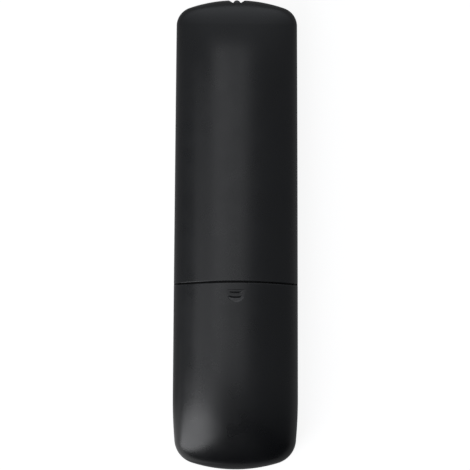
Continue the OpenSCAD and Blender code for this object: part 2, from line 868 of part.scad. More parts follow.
module chip_components() {
    color([0.25, 0.22, 0.2])
        for (x = [-1.15, -0.9, -0.65, 0.65], share = small_places)
            translate([x * column - 1, board_y(share) - 0.6, board_top_z])
                cube([2, 1.2, 0.55]);
}

function unit(v) = v / norm(v);

module coil() {
    n = len(COIL);
    rings = [for (i = [0:n - 1])
        let (along = unit(COIL[min(i + 1, n - 1)] - COIL[max(i - 1, 0)]))
        let (out = unit([COIL[i].x, 0, COIL[i].z]), side = unit(cross(along, out)))
        let (across = cross(side, along))
        [for (s = [0:SIDES - 1])
            let (a = 360 * s / SIDES)
            COIL[i] + wire_r * (cos(a) * across + sin(a) * side)]];
    start = [for (i = [1:SIDES - 2]) [0, i, i + 1]];
    last = (n - 1) * SIDES;
    end = [for (i = [1:SIDES - 2]) [last, last + i + 1, last + i]];
    flanks = [for (f = band_faces(n, SIDES)) [f[0], f[2], f[1]]];
    polyhedron(points = [for (r = rings) each r], faces = concat(start, flanks, end));
}

module contact_blade(w) {
    translate([-w / 2, 0, -contact_w / 2])
        cube([w, contact_t, contact_w]);
}

// Tail of a contact, down through the tray floor to the board
module contact_tail() {
    translate([-1, 0, board_top_z - cell_z])
        cube([2, contact_t, cell_z - board_top_z]);
}

// Negative contact at the bulkhead, with its spring
module spring_contact() {
    color([0.8, 0.8, 0.78])
        translate([cell_pitch / 2, bay_y, cell_z])
            mirror([0, 1, 0]) {
                contact_blade(contact_w);
                contact_tail();
                translate([0, contact_t, 0])
                    coil();
            }
}

// Positive contact at the bulkhead
module plate_contact() {
    color([0.8, 0.8, 0.78])
        translate([-cell_pitch / 2, bay_y, cell_z])
            mirror([0, 1, 0]) {
                contact_blade(contact_w);
                contact_tail();
            }
}

// Contact at the tail end of the bay, which joins the two cells
module bridge_contact() {
    color([0.8, 0.8, 0.78])
        translate([0, bay_end_y, cell_z]) {
            contact_blade(cell_pitch + contact_w);
            translate([-cell_pitch / 2, contact_t, 0])
                coil();
        }
}

// AAA cell along +Y with its button end at the origin
module cell() {
    button_r = 1.9;
    button_h = 1;
    crimp = 0.5;
    rotate([90, 0, 0])
        rotate_extrude()
            polygon([[0, 0], [button_r, 0], [button_r, button_h], [cell_d / 2 - crimp, button_h],
                [cell_d / 2, button_h + crimp], [cell_d / 2, cell_l - crimp],
                [cell_d / 2 - crimp, cell_l], [0, cell_l]]);
}

module battery_left() {
    color([0.72, 0.45, 0.2])
        translate([-cell_pitch / 2, bay_y - contact_t - contact_gap, cell_z])
            cell();
}

module battery_right() {
    color([0.72, 0.45, 0.2])
        translate([cell_pitch / 2, bay_end_y + contact_t + contact_gap, cell_z])
            mirror([0, 1, 0])
                cell();
}

module case_screws() {
    color([0.3, 0.3, 0.32])
        for (s = SCREWS)
            translate([s.x, s.y, floor_top_z])
                difference() {
                    union() {
                        cylinder(r = screw_head_r, h = screw_head_h);
                        translate([0, 0, -screw_l])
                            cylinder(r = screw_r, h = screw_l + eps);
                    }
                    for (a = [0, 90])
                        rotate(a)
                            translate([-1.3, -0.25, screw_head_h - 0.8])
                                cube([2.6, 0.5, 1]);
                }
}

rear_shell();
front_shell();
battery_cover();
ir_led();
status_led();
dome_sheet();
contact_pills();
circuit_board();
microcontroller();
ceramic_resonator();
reservoir_capacitor();
driver_transistor();
chip_components();
spring_contact();
plate_contact();
bridge_contact();
battery_left();
battery_right();
case_screws();
rest_pads();
for (k = KEYS)
    key_cap(k);
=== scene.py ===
import json
import math

import bmesh
import bpy
import numpy as np
from mathutils import Matrix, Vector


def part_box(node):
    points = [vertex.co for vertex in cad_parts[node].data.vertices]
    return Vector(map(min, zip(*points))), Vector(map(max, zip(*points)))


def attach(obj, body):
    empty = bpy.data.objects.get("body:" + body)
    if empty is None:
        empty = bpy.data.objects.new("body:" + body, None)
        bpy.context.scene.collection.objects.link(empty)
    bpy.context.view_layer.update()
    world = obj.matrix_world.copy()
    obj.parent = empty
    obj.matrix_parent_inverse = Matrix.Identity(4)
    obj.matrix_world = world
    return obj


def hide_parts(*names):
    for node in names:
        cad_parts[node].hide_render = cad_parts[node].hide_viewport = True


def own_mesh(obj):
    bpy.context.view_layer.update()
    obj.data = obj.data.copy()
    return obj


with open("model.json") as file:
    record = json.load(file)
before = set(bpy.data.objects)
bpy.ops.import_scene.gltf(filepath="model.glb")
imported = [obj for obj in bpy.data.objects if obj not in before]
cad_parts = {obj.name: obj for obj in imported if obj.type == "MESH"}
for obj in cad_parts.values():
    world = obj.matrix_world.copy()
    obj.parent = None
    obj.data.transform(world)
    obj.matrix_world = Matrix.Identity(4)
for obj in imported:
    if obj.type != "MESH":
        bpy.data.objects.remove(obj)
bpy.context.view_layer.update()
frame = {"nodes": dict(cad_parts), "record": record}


# Rest pads: two soft strips of black elastomer, moulded and stuck into shallow pockets of the key panel.
# They carry the remote when it lies face down and keep its keys off the table.
def linear(code):
    """An sRGB hex colour as linear red, green, blue and alpha."""
    c = np.array([int(code[i:i + 2], 16) for i in (0, 2, 4)]) / 255
    return (*np.where(c <= 0.04045, c / 12.92, ((c + 0.055) / 1.055) ** 2.4).tolist(), 1.0)


def set_sockets(tree, node, sockets):
    """Links each named socket of a node to another node's output, or gives it a value."""
    for key, value in sockets.items():
        if isinstance(value, bpy.types.NodeSocket):
            tree.links.new(value, node.inputs[key])
        else:
            node.inputs[key].default_value = value


def add_node(tree, kind, settings, sockets):
    """Adds a node, puts the settings on it, and links or sets its sockets."""
    made = tree.nodes.new(kind)
    for key, value in settings.items():
        setattr(made, key, value)
    set_sockets(tree, made, sockets)
    return made


def new_material(name):
    """A new material with nodes: itself, its node tree and its shader."""
    material = bpy.data.materials.new(name)
    material.use_nodes = True
    return material, material.node_tree, material.node_tree.nodes["Principled BSDF"]


def moulded(name, tones, rough, grain, depth, ior=1.53):
    """Moulded plastic or rubber: a colour that clouds between two tones, a roughness that smears between
    two values, and the grain that the eroded tool left, with its pitch and depth in mm. Where the mesh marks
    it, the surface is painted lighter and smoother: handling wear on rubbed edges, and a painted highlight
    on the battery cover's lip."""
    cloud_mm, smear_mm, scuff_mm, low, high, polish = 20.0, 9.0, 1.5, 0.3, 0.7, 0.08
    material, tree, shader = new_material(name)
    place = add_node(tree, "ShaderNodeTexCoord", {}, {}).outputs["Object"]
    cloud = add_node(tree, "ShaderNodeTexNoise", {},
                     {"Vector": place, "Scale": 1000 / cloud_mm, "Detail": 4.0})
    tone = add_node(tree, "ShaderNodeValToRGB", {}, {"Fac": cloud.outputs["Fac"]})
    for stop, at, code in zip(tone.color_ramp.elements, (low, high), tones):
        stop.position, stop.color = at, linear(code)
    # The mesh's attribute lightens the tone: handling wear on edges, and a painted highlight on the cover's
    # lip.
    wear_and_highlight = add_node(tree, "ShaderNodeAttribute", {"attribute_name": "wear_and_highlight"}, {}).outputs["Fac"]
    scuff = add_node(tree, "ShaderNodeTexNoise", {},
                     {"Vector": place, "Scale": 1000 / scuff_mm, "Detail": 3.0})
    wear_and_highlight_mask = add_node(tree, "ShaderNodeMath", {"operation": "MULTIPLY"}, {0: wear_and_highlight, 1: scuff.outputs["Fac"]})
    lightened_tone = add_node(tree, "ShaderNodeMixRGB", {"blend_type": "SCREEN"},
                    {"Fac": wear_and_highlight_mask.outputs[0], "Color1": tone.outputs["Color"], "Color2": linear("2a2a2b")})
    smear = add_node(tree, "ShaderNodeTexNoise", {},
                     {"Vector": place, "Scale": 1000 / smear_mm, "Detail": 5.0})
    matt = add_node(tree, "ShaderNodeMapRange", {},
                    {"Value": smear.outputs["Fac"], "From Min": low, "From Max": high, "To Min": rough[0],
                     "To Max": rough[1]})
    polished = add_node(tree, "ShaderNodeMath", {"operation": "MULTIPLY_ADD"},
                        {0: wear_and_highlight_mask.outputs[0], 1: -polish, 2: matt.outputs["Result"]})
    pits = add_node(tree, "ShaderNodeTexNoise", {}, {"Vector": place, "Scale": 1000 / grain, "Detail": 2.0})
    bump = add_node(tree, "ShaderNodeBump", {},
                    {"Strength": 1.0, "Distance": depth / 1000, "Height": pits.outputs["Fac"]})
    set_sockets(tree, shader, {"IOR": ior, "Base Color": lightened_tone.outputs["Color"],
                               "Roughness": polished.outputs[0], "Normal": bump.outputs["Normal"]})
    return material


def shape(name, body, stands_for, material, grids, marks=None, sharp=40):
    """One piece from grids of points in mm, shaped (rows, columns, 3): each four neighbours make a face.
    Points that meet are merged, which closes seams and poles, and the faces are turned outwards.
    Marks are an attribute's name with one array of values for each grid."""
    faces, start = [], 0
    for grid in grids:
        rows, columns = grid.shape[:2]
        i = start + np.arange(rows * columns).reshape(rows, columns)
        faces.append(np.stack([i[:-1, :-1], i[:-1, 1:], i[1:, 1:], i[1:, :-1]], -1).reshape(-1, 4))
        start += rows * columns
    mesh = bpy.data.meshes.new(name)
    points = np.concatenate([grid.reshape(-1, 3) for grid in grids]) / 1000
    mesh.from_pydata(points.tolist(), [], np.concatenate(faces).tolist())
    if marks:
        layer = mesh.attributes.new(marks[0], "FLOAT", "POINT")
        layer.data.foreach_set("value", np.concatenate([m.ravel() for m in marks[1]]).astype(np.float32))
    return finished(name, mesh, body, stands_for, material, sharp)


def put_in_scene(name, data):
    """A new object for a mesh, curve, lamp or camera, linked into the scene."""
    made = bpy.data.objects.new(name, data)
    bpy.context.scene.collection.objects.link(made)
    return made


def finished(name, mesh, body, stands_for, material, sharp=40):
    """Merges points within 0.002 mm, turns the faces outwards, smooths them up to the sharp angle in
    degrees, and lets the piece ride on its body."""
    work = bmesh.new()
    work.from_mesh(mesh)
    bmesh.ops.remove_doubles(work, verts=work.verts, dist=2e-6)
    bmesh.ops.recalc_face_normals(work, faces=work.faces)
    work.to_mesh(mesh)
    work.free()
    mesh.polygons.foreach_set("use_smooth", np.ones(len(mesh.polygons), bool))
    mesh.set_sharp_from_angle(angle=math.radians(sharp))
    mesh.materials.append(material)
    piece = put_in_scene(name, mesh)
    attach(piece, body)
    if stands_for:
        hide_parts(stands_for)
    return piece


def quarter_turns(steps):
    """Angles once round, each quarter with both its ends, and the signs of each angle's corner."""
    a = np.radians(np.concatenate([np.linspace(q, q + 90, steps) for q in (0, 90, 180, 270)] + [[360.0]]))
    return a, np.concatenate([np.repeat([[1, 1], [-1, 1], [-1, -1], [1, -1]], steps, 0), [[1, 1]]])


def rounded_plan(width, height, radius, steps=9):
    """Rounded rectangle, four quarter circles joined by straight sides: its points and outward normals."""
    a, corner = quarter_turns(steps)
    n = np.stack([np.cos(a), np.sin(a)], -1)
    return corner * [width / 2 - radius, height / 2 - radius] + radius * n, n


def stack(plan, normals, middle, steps):
    """A plan curve stacked along steps of (outward offset, share of the way from the middle, height)."""
    offset, share, z = (np.array(c)[:, None, None] for c in zip(*steps))
    flat = np.array(middle) + share * (plan + offset * normals)
    return np.concatenate([flat, np.broadcast_to(z, flat.shape[:2] + (1,))], -1)


def edge_round(radius, count):
    """Steps of a quarter round, as (drawn in, risen) pairs from the flat face to the side."""
    a = np.linspace(0, math.pi / 2, count)
    return np.stack([radius * (1 - np.sin(a)), radius * (1 - np.cos(a))], -1)


# The elastomer is dull, almost without a highlight, and its tone clouds a little.
elastomer = moulded("soft_black_elastomer", ("101011", "161617"), (0.72, 0.85), 0.25, 0.012, ior=1.45)
# Each pad has its middle along Y, its width and its height; its ends are half circles but for a short flat.
pad_sizes, pad_flat, pad_edge_r = ((86.025, 19.503, 4.205), (-74.829, 26.004, 8.0)), 0.1, 0.5
pad_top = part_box("rest_pads")[1].z * 1000
pads = []
for pad_y, pad_w, pad_h in pad_sizes:
    plan, normals = rounded_plan(pad_w, pad_h, pad_h / 2 - pad_flat)
    steps = [(0, 0, 0)] + [(-i, 1, r) for i, r in edge_round(pad_edge_r, 7)]
    steps += [(0, 1, pad_top), (0, 0, pad_top)]
    pads.append(stack(plan, normals, (0, pad_y), steps))
shape("rest_pads_soft", "case", "rest_pads", elastomer, pads)


# Front shell: one black ABS moulding that carries the keys and the board. A drafted flank turns over a
# quarter round into the flat key panel, and the rim meets the rear shell at a flat split.
nose_y, tail_y, half_w, wide_y = 94.0, -94.0, 25.098, -66.0
nose_r, tail_r, nose_corner_r, tail_corner_r = 58.0, 58.0, 7.6, 10.0
tail_flank_r, long_flank_r, flank_taper = 190.0, 60000.0, math.radians(0.3)
panel_z, panel_in_z, board_z, split_z, split_gap = 1.5, 3.3, 6.6, 10.15, 0.3
front_wall, ledge_w, edge_r, front_draft = 2.0, 1.4, 4.0, 0.35
rim_r, rim_chamfer, split_wear, split_wear_w = 0.25, 0.2, 0.5, 0.3
hole_r, scallop_r, scallop_depth, scallop_soft = 1.75, 3.4, 1.2, 0.08
well_edge, well_depth, face_depth = 0.2, 0.45, 3.0


def meet(ca, ra, cb, rb, side):
    """Where two circles cross, on the side that is asked for. Along the line of centres it is at the
    difference of the squared radii plus the squared distance, over twice the distance; the rest of the
    radius leads off it."""
    gap = np.subtract(cb, ca)
    d = np.hypot(*gap)
    along = (ra * ra - rb * rb + d * d) / (2 * d)
    off = math.sqrt(ra * ra - along * along)
    return np.array(ca) + along / d * gap + side * off / d * np.array([-gap[1], gap[0]])


def bearing(start, end):
    """The angle of the line from one point to another, from the X axis."""
    return math.atan2(end[1] - start[1], end[0] - start[0])


tail_c, nose_c = np.array([0, tail_y + tail_r]), np.array([0, nose_y - nose_r])
tail_flank_c = np.array([half_w - tail_flank_r, wide_y])
taper_way = np.array([math.cos(flank_taper), math.sin(flank_taper)])
long_flank_c = tail_flank_c - (long_flank_r - tail_flank_r) * taper_way
tail_corner_c = meet(tail_c, tail_r - tail_corner_r, tail_flank_c, tail_flank_r - tail_corner_r, 1)
nose_corner_c = meet(nose_c, nose_r - nose_corner_r, long_flank_c, long_flank_r - nose_corner_r, -1)
tail_a, nose_a = bearing(tail_c, tail_corner_c), bearing(nose_c, nose_corner_c)
tail_flank_a, long_flank_a = bearing(tail_flank_c, tail_corner_c), bearing(long_flank_c, nose_corner_c)


def plan_arcs(*arcs):
    """Arcs of (centre, radius, first angle, last angle, points) in a row, each without its last point, then
    the end of the last one: points and outward normals."""
    n, p = [], []
    for centre, radius, first, last, count in arcs:
        a = np.linspace(first, last, count, endpoint=False)
        n.append(np.stack([np.cos(a), np.sin(a)], -1))
        p.append(centre + radius * n[-1])
    n.append(np.array([[math.cos(last), math.sin(last)]]))
    p.append(centre + radius * n[-1])
    return np.concatenate(p), np.concatenate(n)


tail_half = [(tail_c, tail_r, -math.pi / 2, tail_a, 44),
             (tail_corner_c, tail_corner_r, tail_a, tail_flank_a, 30),
             (tail_flank_c, tail_flank_r, tail_flank_a, flank_taper, 24)]
nose_half = [(nose_corner_c, nose_corner_r, long_flank_a, nose_a, 30),
             (nose_c, nose_r, nose_a, math.pi / 2, 130)]
long_flank = (long_flank_c, long_flank_r, flank_taper, long_flank_a, 80)
half_p, half_n = plan_arcs(*tail_half, long_flank, *nose_half)


def outline(drawn_in):
    """The whole plan outline, drawn in along its normals: right half, then the left half mirrored back."""
    right = half_p - drawn_in * half_n
    return np.concatenate([right, (right * [-1, 1])[-2::-1]])


def at_height(plan, z):
    """Plan points lifted to a height."""
    return np.concatenate([plan, np.full((len(plan), 1), z)], -1)


def step_up(value):
    """0 below 0, 1 above 1, and a smooth rise between: three times the square less twice the cube."""
    value = np.clip(value, 0, 1)
    return value * value * (3 - 2 * value)


def scallop(points):
    """Sinks the end face round the diode: y stays under a groove whose sides slope to a flat floor, with a
    short well in it. The soft lesser of two values is half of what is left when their sum loses the root of
    their squared difference plus the squared softness. Points deep inside stay."""
    x, y, z = np.moveaxis(points, -1, 0)
    well = step_up((hole_r - np.hypot(x, z - split_z)) / well_edge)
    slope = np.minimum((scallop_r - np.abs(x)) / (scallop_r - hole_r), 1)
    groove = nose_y - scallop_depth * slope - well_depth * well
    sunk = (y + groove - np.sqrt((y - groove) ** 2 + scallop_soft ** 2)) / 2
    return np.stack([x, np.where(groove - y > face_depth, y, sunk), z], -1)


def filled(curve):
    """The mesh that fills a flat curve or a text; the curve itself is removed."""
    drawn = put_in_scene(curve.name + "_drawn", curve)
    mesh = bpy.data.meshes.new_from_object(drawn.evaluated_get(bpy.context.evaluated_depsgraph_get()))
    bpy.data.objects.remove(drawn)
    bpy.data.curves.remove(curve)
    mesh.materials.clear()
    return mesh


def points_of(mesh):
    """The points of a mesh as an array, in metres."""
    co = np.empty(len(mesh.vertices) * 3, np.float32)
    mesh.vertices.foreach_get("co", co)
    return co.reshape(-1, 3)


def flat_plate(name, loops, low, high):
    """A flat plate from closed loops in mm, filled between an outer loop and the holes in it; returns its
    mesh. Points closer than 0.01 mm to the next one are left out, as they would tear the filling."""
    curve = bpy.data.curves.new(name, "CURVE")
    curve.dimensions, curve.fill_mode, curve.extrude = "2D", "BOTH", (high - low) / 2000
    for loop in loops:
        loop = loop[np.linalg.norm(np.roll(loop, -1, 0) - loop, axis=1) > 0.01]
        line = curve.splines.new("POLY")
        line.points.add(len(loop) - 1)
        line.points.foreach_set("co", np.pad(loop / 1000, ((0, 0), (0, 2))).ravel())
        line.use_cyclic_u = True
    mesh = filled(curve)
    mesh.name = name
    co = points_of(mesh)
    co[:, 2] += (low + high) / 2000
    mesh.vertices.foreach_set("co", co.ravel())
    return mesh


# Black ABS from a spark-eroded tool: deep black with a low, even sheen. The real grain of about 0.1 mm is
# drawn at 0.35 mm so that it shows at all.
front_abs = moulded("satin_black_ABS", ("131314", "171718"), (0.36, 0.44), 0.35, 0.006)
rim_z, panel_in, ledge_in = split_z - split_gap, front_draft + edge_r, front_wall + ledge_w
flank = np.linspace(panel_z + edge_r, rim_z - rim_r, 30)
front_steps = np.concatenate([
    [[panel_in, panel_in_z]], edge_round(edge_r, 18) + [front_draft, panel_z],
    np.stack([front_draft * (rim_z - flank) / (rim_z - panel_z - edge_r), flank], -1)[1:],
    (edge_round(rim_r, 6) * [1, -1] + [0, rim_z])[::-1][1:],
    [[front_wall - rim_chamfer, rim_z], [front_wall, rim_z - rim_chamfer], [front_wall, board_z],
     [ledge_in, board_z], [ledge_in, panel_in_z], [panel_in, panel_in_z]]])
front = np.stack([at_height(outline(drawn_in), z) for drawn_in, z in front_steps])
rim_wear = split_wear * np.clip(1 - np.abs(front_steps[:, 1:] - rim_z) / split_wear_w, 0, 1)
shape("front_shell_flank", "case", "front_shell", front_abs, [scallop(front)],
      ("wear_and_highlight", [np.broadcast_to(rim_wear, front.shape[:2])]))


# Keys: hard ABS caps, each with a flange behind the panel that keeps it from falling out.
# They sit on the silicone domes; the digits and signs are pad-printed on their tops.
key_top, flange_z, flange_top_z, flange_w, key_gap, ring_slot = 0.2, 3.5, 4.5, 0.8, 0.3, 1.4
ring_r, ring_in_r, arrow_corner_r, key_corner_r = 14.0, 8.2, 1.0, 2.4
key_edge_r, key_dish, key_flat, rocker_flat, round_within = 0.6, 0.12, 0.2, 0.3, 0.05
lamp_y, lamp_hole_d, rocker_fall = 79.5, 2.5, math.tan(math.radians(3))
rockers = ("key_volume", "key_channel")
arrow_turns = {"key_up": 90, "key_left": 0, "key_down": -90, "key_right": 180}
ring_lo, ring_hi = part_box("key_ok")
ring_c = np.array([ring_lo.x + ring_hi.x, ring_lo.y + ring_hi.y]) * 500


def spun(plan, degrees):
    """Plan points turned to the left about the origin."""
    a = math.radians(degrees)
    return plan @ np.array([[math.cos(a), math.sin(a)], [-math.sin(a), math.cos(a)]])


def arrow_plan(turn):
    """A quarter of a ring between two diagonal slots, with rounded corners: outer arc, corner, straight
    side, corner, inner arc and back, turned so that its middle points the given way."""
    c, w = arrow_corner_r, ring_slot / 2 + arrow_corner_r
    diagonal = np.array([math.cos(math.pi / 4), math.sin(math.pi / 4)])
    off = np.array([diagonal[1], -diagonal[0]])
    outer = math.sqrt((ring_r - c) ** 2 - w * w) * diagonal + w * off
    inner = math.sqrt((ring_in_r + c) ** 2 - w * w) * diagonal + w * off
    outer_a, inner_a, side_a = bearing((0, 0), outer), bearing((0, 0), inner), 3 * math.pi / 4
    upper, upper_n = plan_arcs(((0, 0), ring_r, 0, outer_a, 14), (outer, c, outer_a, side_a, 8),
                               (inner, c, side_a, inner_a + math.pi, 8))
    a = np.linspace(inner_a, 0, 14)[1:]
    bore = np.stack([np.cos(a), np.sin(a)], -1)
    p, n = np.concatenate([upper, ring_in_r * bore]), np.concatenate([upper_n, -bore])
    p, n = (np.concatenate([v, (v * [1, -1])[-2::-1]]) for v in (p, n))
    return spun(p, turn), spun(n, turn)


def key_plan(name):
    """A key's plan curve round its own middle, its normals, and where that middle is, from its solid's box:
    a quarter ring, a long or a short rounded rectangle with a little flat left at its ends, or a circle."""
    lo, hi = (np.array(c) * 1000 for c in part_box(name))
    middle, size = (lo + hi)[:2] / 2, (hi - lo)[:2] - 2 * flange_w
    if name in arrow_turns:
        p, n = arrow_plan(arrow_turns[name])
        heart = p[:-1].mean(0)
        return p - heart, n, ring_c + heart
    if name in rockers:
        return *rounded_plan(*size, size[0] / 2 - rocker_flat, 14), middle
    if abs(size[0] - size[1]) < round_within:
        return *rounded_plan(size[0], size[0], size[0] / 2, 14), middle
    return *rounded_plan(*size, min(key_corner_r, size[1] / 2 - key_flat)), middle


# Satin caps, moulded and dyed through: an even colour with a soft highlight along the rounded edge.
key_tones = {"key_grey": ("4c4e52", "56585c"), "key_dark": ("1c1c1e", "232325"),
             "key_red": ("a81f1f", "b82a26"), "key_green": ("1d6b38", "257a42"),
             "key_yellow": ("c79a14", "d6a91f"), "key_blue": ("1c3f8f", "244b9f")}
key_plastic = {slot: moulded(slot.replace("key", "satin_ABS_cap"), tones, (0.4, 0.5), 0.3, 0.004)
               for slot, tones in key_tones.items()}
key_slots = {part["node"]: part["material_slot"] for part in frame["record"]["subparts"]
             if part["node"].startswith("key_")}
key_holes = []
for name, slot in key_slots.items():
    plan, normals, middle = key_plan(name)
    key_holes.append(middle + plan[:-1] + key_gap * normals[:-1])
    # The direction keys stand close together, so their flanges are narrow. A rocker's flange falls away to
    # both its ends, so that it can tilt.
    reach = ring_slot / 4 if name in arrow_turns else flange_w
    steps = [(0, 0, flange_top_z), (reach, 1, flange_top_z), (reach, 1, flange_z), (0, 1, flange_z)]
    steps += [(-i, 1, key_top + r) for i, r in edge_round(key_edge_r, 7)[::-1]]
    steps += [(-key_edge_r * (s > 0), s, key_top + key_dish * (1 - s * s)) for s in np.linspace(0.95, 0, 8)]
    cap = stack(plan, normals, middle, steps)
    if name in rockers:
        cap[2:4, :, 2] += rocker_fall * np.abs(cap[2:4, :, 1] - middle[1])
    shape(name + "_cap", name, name, key_plastic[slot], [cap])

# The key panel closes the front shell; its openings follow the keys, a gap away, and the setup lamp.
lamp_hole = [0, lamp_y] + rounded_plan(lamp_hole_d, lamp_hole_d, lamp_hole_d / 2)[0][:-1]
panel = flat_plate("key_panel", [outline(panel_in)[:-1], lamp_hole, *key_holes], panel_z, panel_in_z)
finished("key_panel", panel, "case", "front_shell", front_abs)


# Signs on the keys: white ink, pad-printed about 0.02 mm thick; drawn 0.05 mm thick so that it stays in
# front. They read from the front, so what is right there lies towards -X here.
ink_t, ink_proud, digit_size, rocker_sign = 0.05, 0.03, 5.2, 6.5


def disc(u, v, r, r_in=0.0, first=0.0, last=360.0):
    """A disc, or a ring between two angles, as closed loops."""
    a = np.radians(np.linspace(first, last, 40))
    circle = np.stack([np.cos(a), np.sin(a)], -1)
    if r_in and last - first < 360:
        return [np.concatenate([r * circle, r_in * circle[::-1]]) + [u, v]]
    return [k * circle[:-1] + [u, v] for k in ((r, r_in) if r_in else (r,))]


def bar(u, v, w, h, lean=0.0):
    """A straight bar round a middle point, leaning to the left by an angle in degrees."""
    return [spun(np.array([[-w, -h], [w, -h], [w, h], [-w, h]]) / 2, lean) + [u, v]]


def wedge(u, v, size, turn):
    """A triangle whose point looks to the given angle in degrees."""
    return [spun(size * np.array([[0.6, 0], [-0.4, 0.55], [-0.4, -0.55]]), turn) + [u, v]]


def chevron(u, v, way):
    """An open arrow head that points up or down."""
    head = np.array([[-1.5, -0.6], [0, 0.9], [1.5, -0.6], [1.15, -0.95], [0, 0.2], [-1.15, -0.95]])
    return [head * [1, way] + [u, v]]


signs = {
    "key_power": disc(0, 0, 1.7, 1.3, 115, 425) + bar(0, 1.2, 0.4, 1.7),
    "key_source": bar(-0.5, 0, 1.6, 0.45) + wedge(0.9, 0, 1.5, 0),
    "key_list": bar(0, 1, 3.2, 0.45) + bar(0, 0, 3.2, 0.45) + bar(0, -1, 3.2, 0.45),
    "key_recall": disc(0, 0, 1.7, 1.25, 150, 430) + wedge(-1.45, 0.75, 1.1, 245),
    "key_volume": bar(0, rocker_sign, 2.6, 0.5) + bar(0, rocker_sign + 0.78, 0.5, 1.05)
    + bar(0, rocker_sign - 0.78, 0.5, 1.05) + bar(0, -rocker_sign, 2.6, 0.5),
    "key_channel": chevron(0, rocker_sign, 1) + chevron(0, -rocker_sign, -1),
    "key_mute": bar(-1.2, 0, 0.8, 1.0) + [np.array([[-0.7, 0.5], [0.5, 1.5], [0.5, -1.5], [-0.7, -0.5]])]
    + bar(1.35, 0, 0.4, 2.2, 35),
    "key_up": wedge(0, 0, 2.2, 90), "key_down": wedge(0, 0, 2.2, -90),
    "key_left": wedge(0, 0, 2.2, 180), "key_right": wedge(0, 0, 2.2, 0),
    "key_ok": disc(0, 0, 2.0, 1.55),
    "key_menu": [np.array([[0, 1.7], [1.6, 0.2], [1.1, 0.2], [1.1, -1.3], [-1.1, -1.3], [-1.1, 0.2],
                           [-1.6, 0.2]])],
    "key_guide": bar(-0.7, 0.7, 1.1, 1.1) + bar(0.7, 0.7, 1.1, 1.1)
    + bar(-0.7, -0.7, 1.1, 1.1) + bar(0.7, -0.7, 1.1, 1.1),
    "key_exit": bar(0, 0, 0.5, 3.0, 45) + bar(-0.72, -0.72, 1.3, 0.5, 45) + bar(0.72, 0.72, 1.3, 0.5, 45),
    "key_info": disc(0, 1.2, 0.35) + bar(0, -0.4, 0.55, 2.0),
    "key_rewind": wedge(-0.9, 0, 1.8, 180) + wedge(1.0, 0, 1.8, 180),
    "key_play": wedge(0, 0, 2.4, 0),
    "key_forward": wedge(-1.0, 0, 1.8, 0) + wedge(0.9, 0, 1.8, 0),
    "key_record": disc(0, 0, 1.2), "key_pause": bar(-0.65, 0, 0.7, 2.3) + bar(0.65, 0, 0.7, 2.3),
    "key_stop": bar(0, 0, 2.2, 2.2),
}


def printed_digit(digit):
    """A digit in the built-in plain face, about 4 mm high, as a flat mesh round its middle, in metres."""
    text = bpy.data.curves.new("digit", "FONT")
    text.body, text.size, text.extrude = digit, digit_size / 1000, ink_t / 2000
    text.align_x, text.align_y = "CENTER", "CENTER"
    return filled(text)


# White printing ink: a dull film, a little uneven over the grain of the cap.
ink = moulded("white_pad_print_ink", ("d9dad6", "e6e7e3"), (0.5, 0.62), 0.2, 0.002, ior=1.5)
for name, slot in key_slots.items():
    word = name.removeprefix("key_")
    if not word.isdigit() and name not in signs:
        continue
    plan, normals, middle = key_plan(name)
    mesh = printed_digit(word) if word.isdigit() else flat_plate(name, signs[name], -ink_t / 2, ink_t / 2)
    co = points_of(mesh) * [-1000, 1000, -1000]
    # The ink lies in the dish: its height falls off with the square of the share of the way to the edge.
    edge = plan[:-1] - key_edge_r * normals[:-1]
    reach = np.interp(np.arctan2(co[:, 1], co[:, 0]), np.arctan2(edge[:, 1], edge[:, 0]), np.hypot(*edge.T),
                      period=2 * math.pi)
    share = np.hypot(co[:, 0], co[:, 1]) / reach
    co[:, :2] += middle
    co[:, 2] += key_top + key_dish * (1 - share ** 2) - ink_proud
    mesh.vertices.foreach_set("co", (co / 1000).astype(np.float32).ravel())
    finished(name + "_sign", mesh, name, None, ink)


# Dome sheet and its pills: one sheet of grey silicone, compression-moulded with a dome under each key, and
# a carbon-filled pill in each dome that bridges the board's tracks. A dome buckles as its key goes down.
def dress(node, material):
    """Gives a CAD solid that keeps its shape a finished material."""
    for place in frame["nodes"][node].material_slots:
        place.material = material


# Silicone is soft to the eye: a matt grey with a faint bloom and no sharp highlight.
silicone = moulded("moulded_grey_silicone", ("6e7073", "7a7c80"), (0.55, 0.68), 0.4, 0.01, ior=1.41)
sheet_z, dome_gap, dome_cap_t, dome_chamfer = 5.6, 0.08, 0.8, 0.1
dome_r, dome_tip_r, dome_bore_r, rocker_dome, sheet_gap = 2.4, 1.9, 1.7, 7.0, 0.25
# The steps are offsets from a circle of 1 mm radius.
dome_top_z = flange_top_z + dome_gap
circle, outward = rounded_plan(2, 2, 1, 12)
dome_side = [(0, 0, dome_top_z), (dome_tip_r - dome_chamfer - 1, 1, dome_top_z),
             (dome_tip_r - 1, 1, dome_top_z + dome_chamfer), (dome_r - 1, 1, sheet_z),
             (dome_bore_r - 1, 1, sheet_z), (dome_bore_r - 1, 1, dome_top_z + dome_cap_t),
             (0, 0, dome_top_z + dome_cap_t)]
dome_feet = []
for name in key_slots:
    middle = key_plan(name)[2]
    rocks = name in rockers
    if name in arrow_turns:
        middle = ring_c + spun(np.array([(ring_r + ring_in_r) / 2, 0]), arrow_turns[name])
    for place in (middle + [0, rocker_dome], middle - [0, rocker_dome]) if rocks else (middle,):
        dome_feet.append(place + dome_r * circle[:-1])
        dome = shape(f"{name}_dome_{len(dome_feet)}", "case", "dome_sheet", silicone,
                     [stack(circle, outward, place, dome_side)])
        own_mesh(dome)
sheet_low, sheet_high = (corner.y * 1000 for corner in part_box("dome_sheet"))
sheet_edge = outline(ledge_in + sheet_gap)[:-1]
sheet_edge[:, 1] = np.clip(sheet_edge[:, 1], sheet_low, sheet_high)
web = flat_plate("dome_web", [sheet_edge, lamp_hole, *dome_feet], sheet_z, board_z)
finished("dome_web", web, "case", "dome_sheet", silicone)
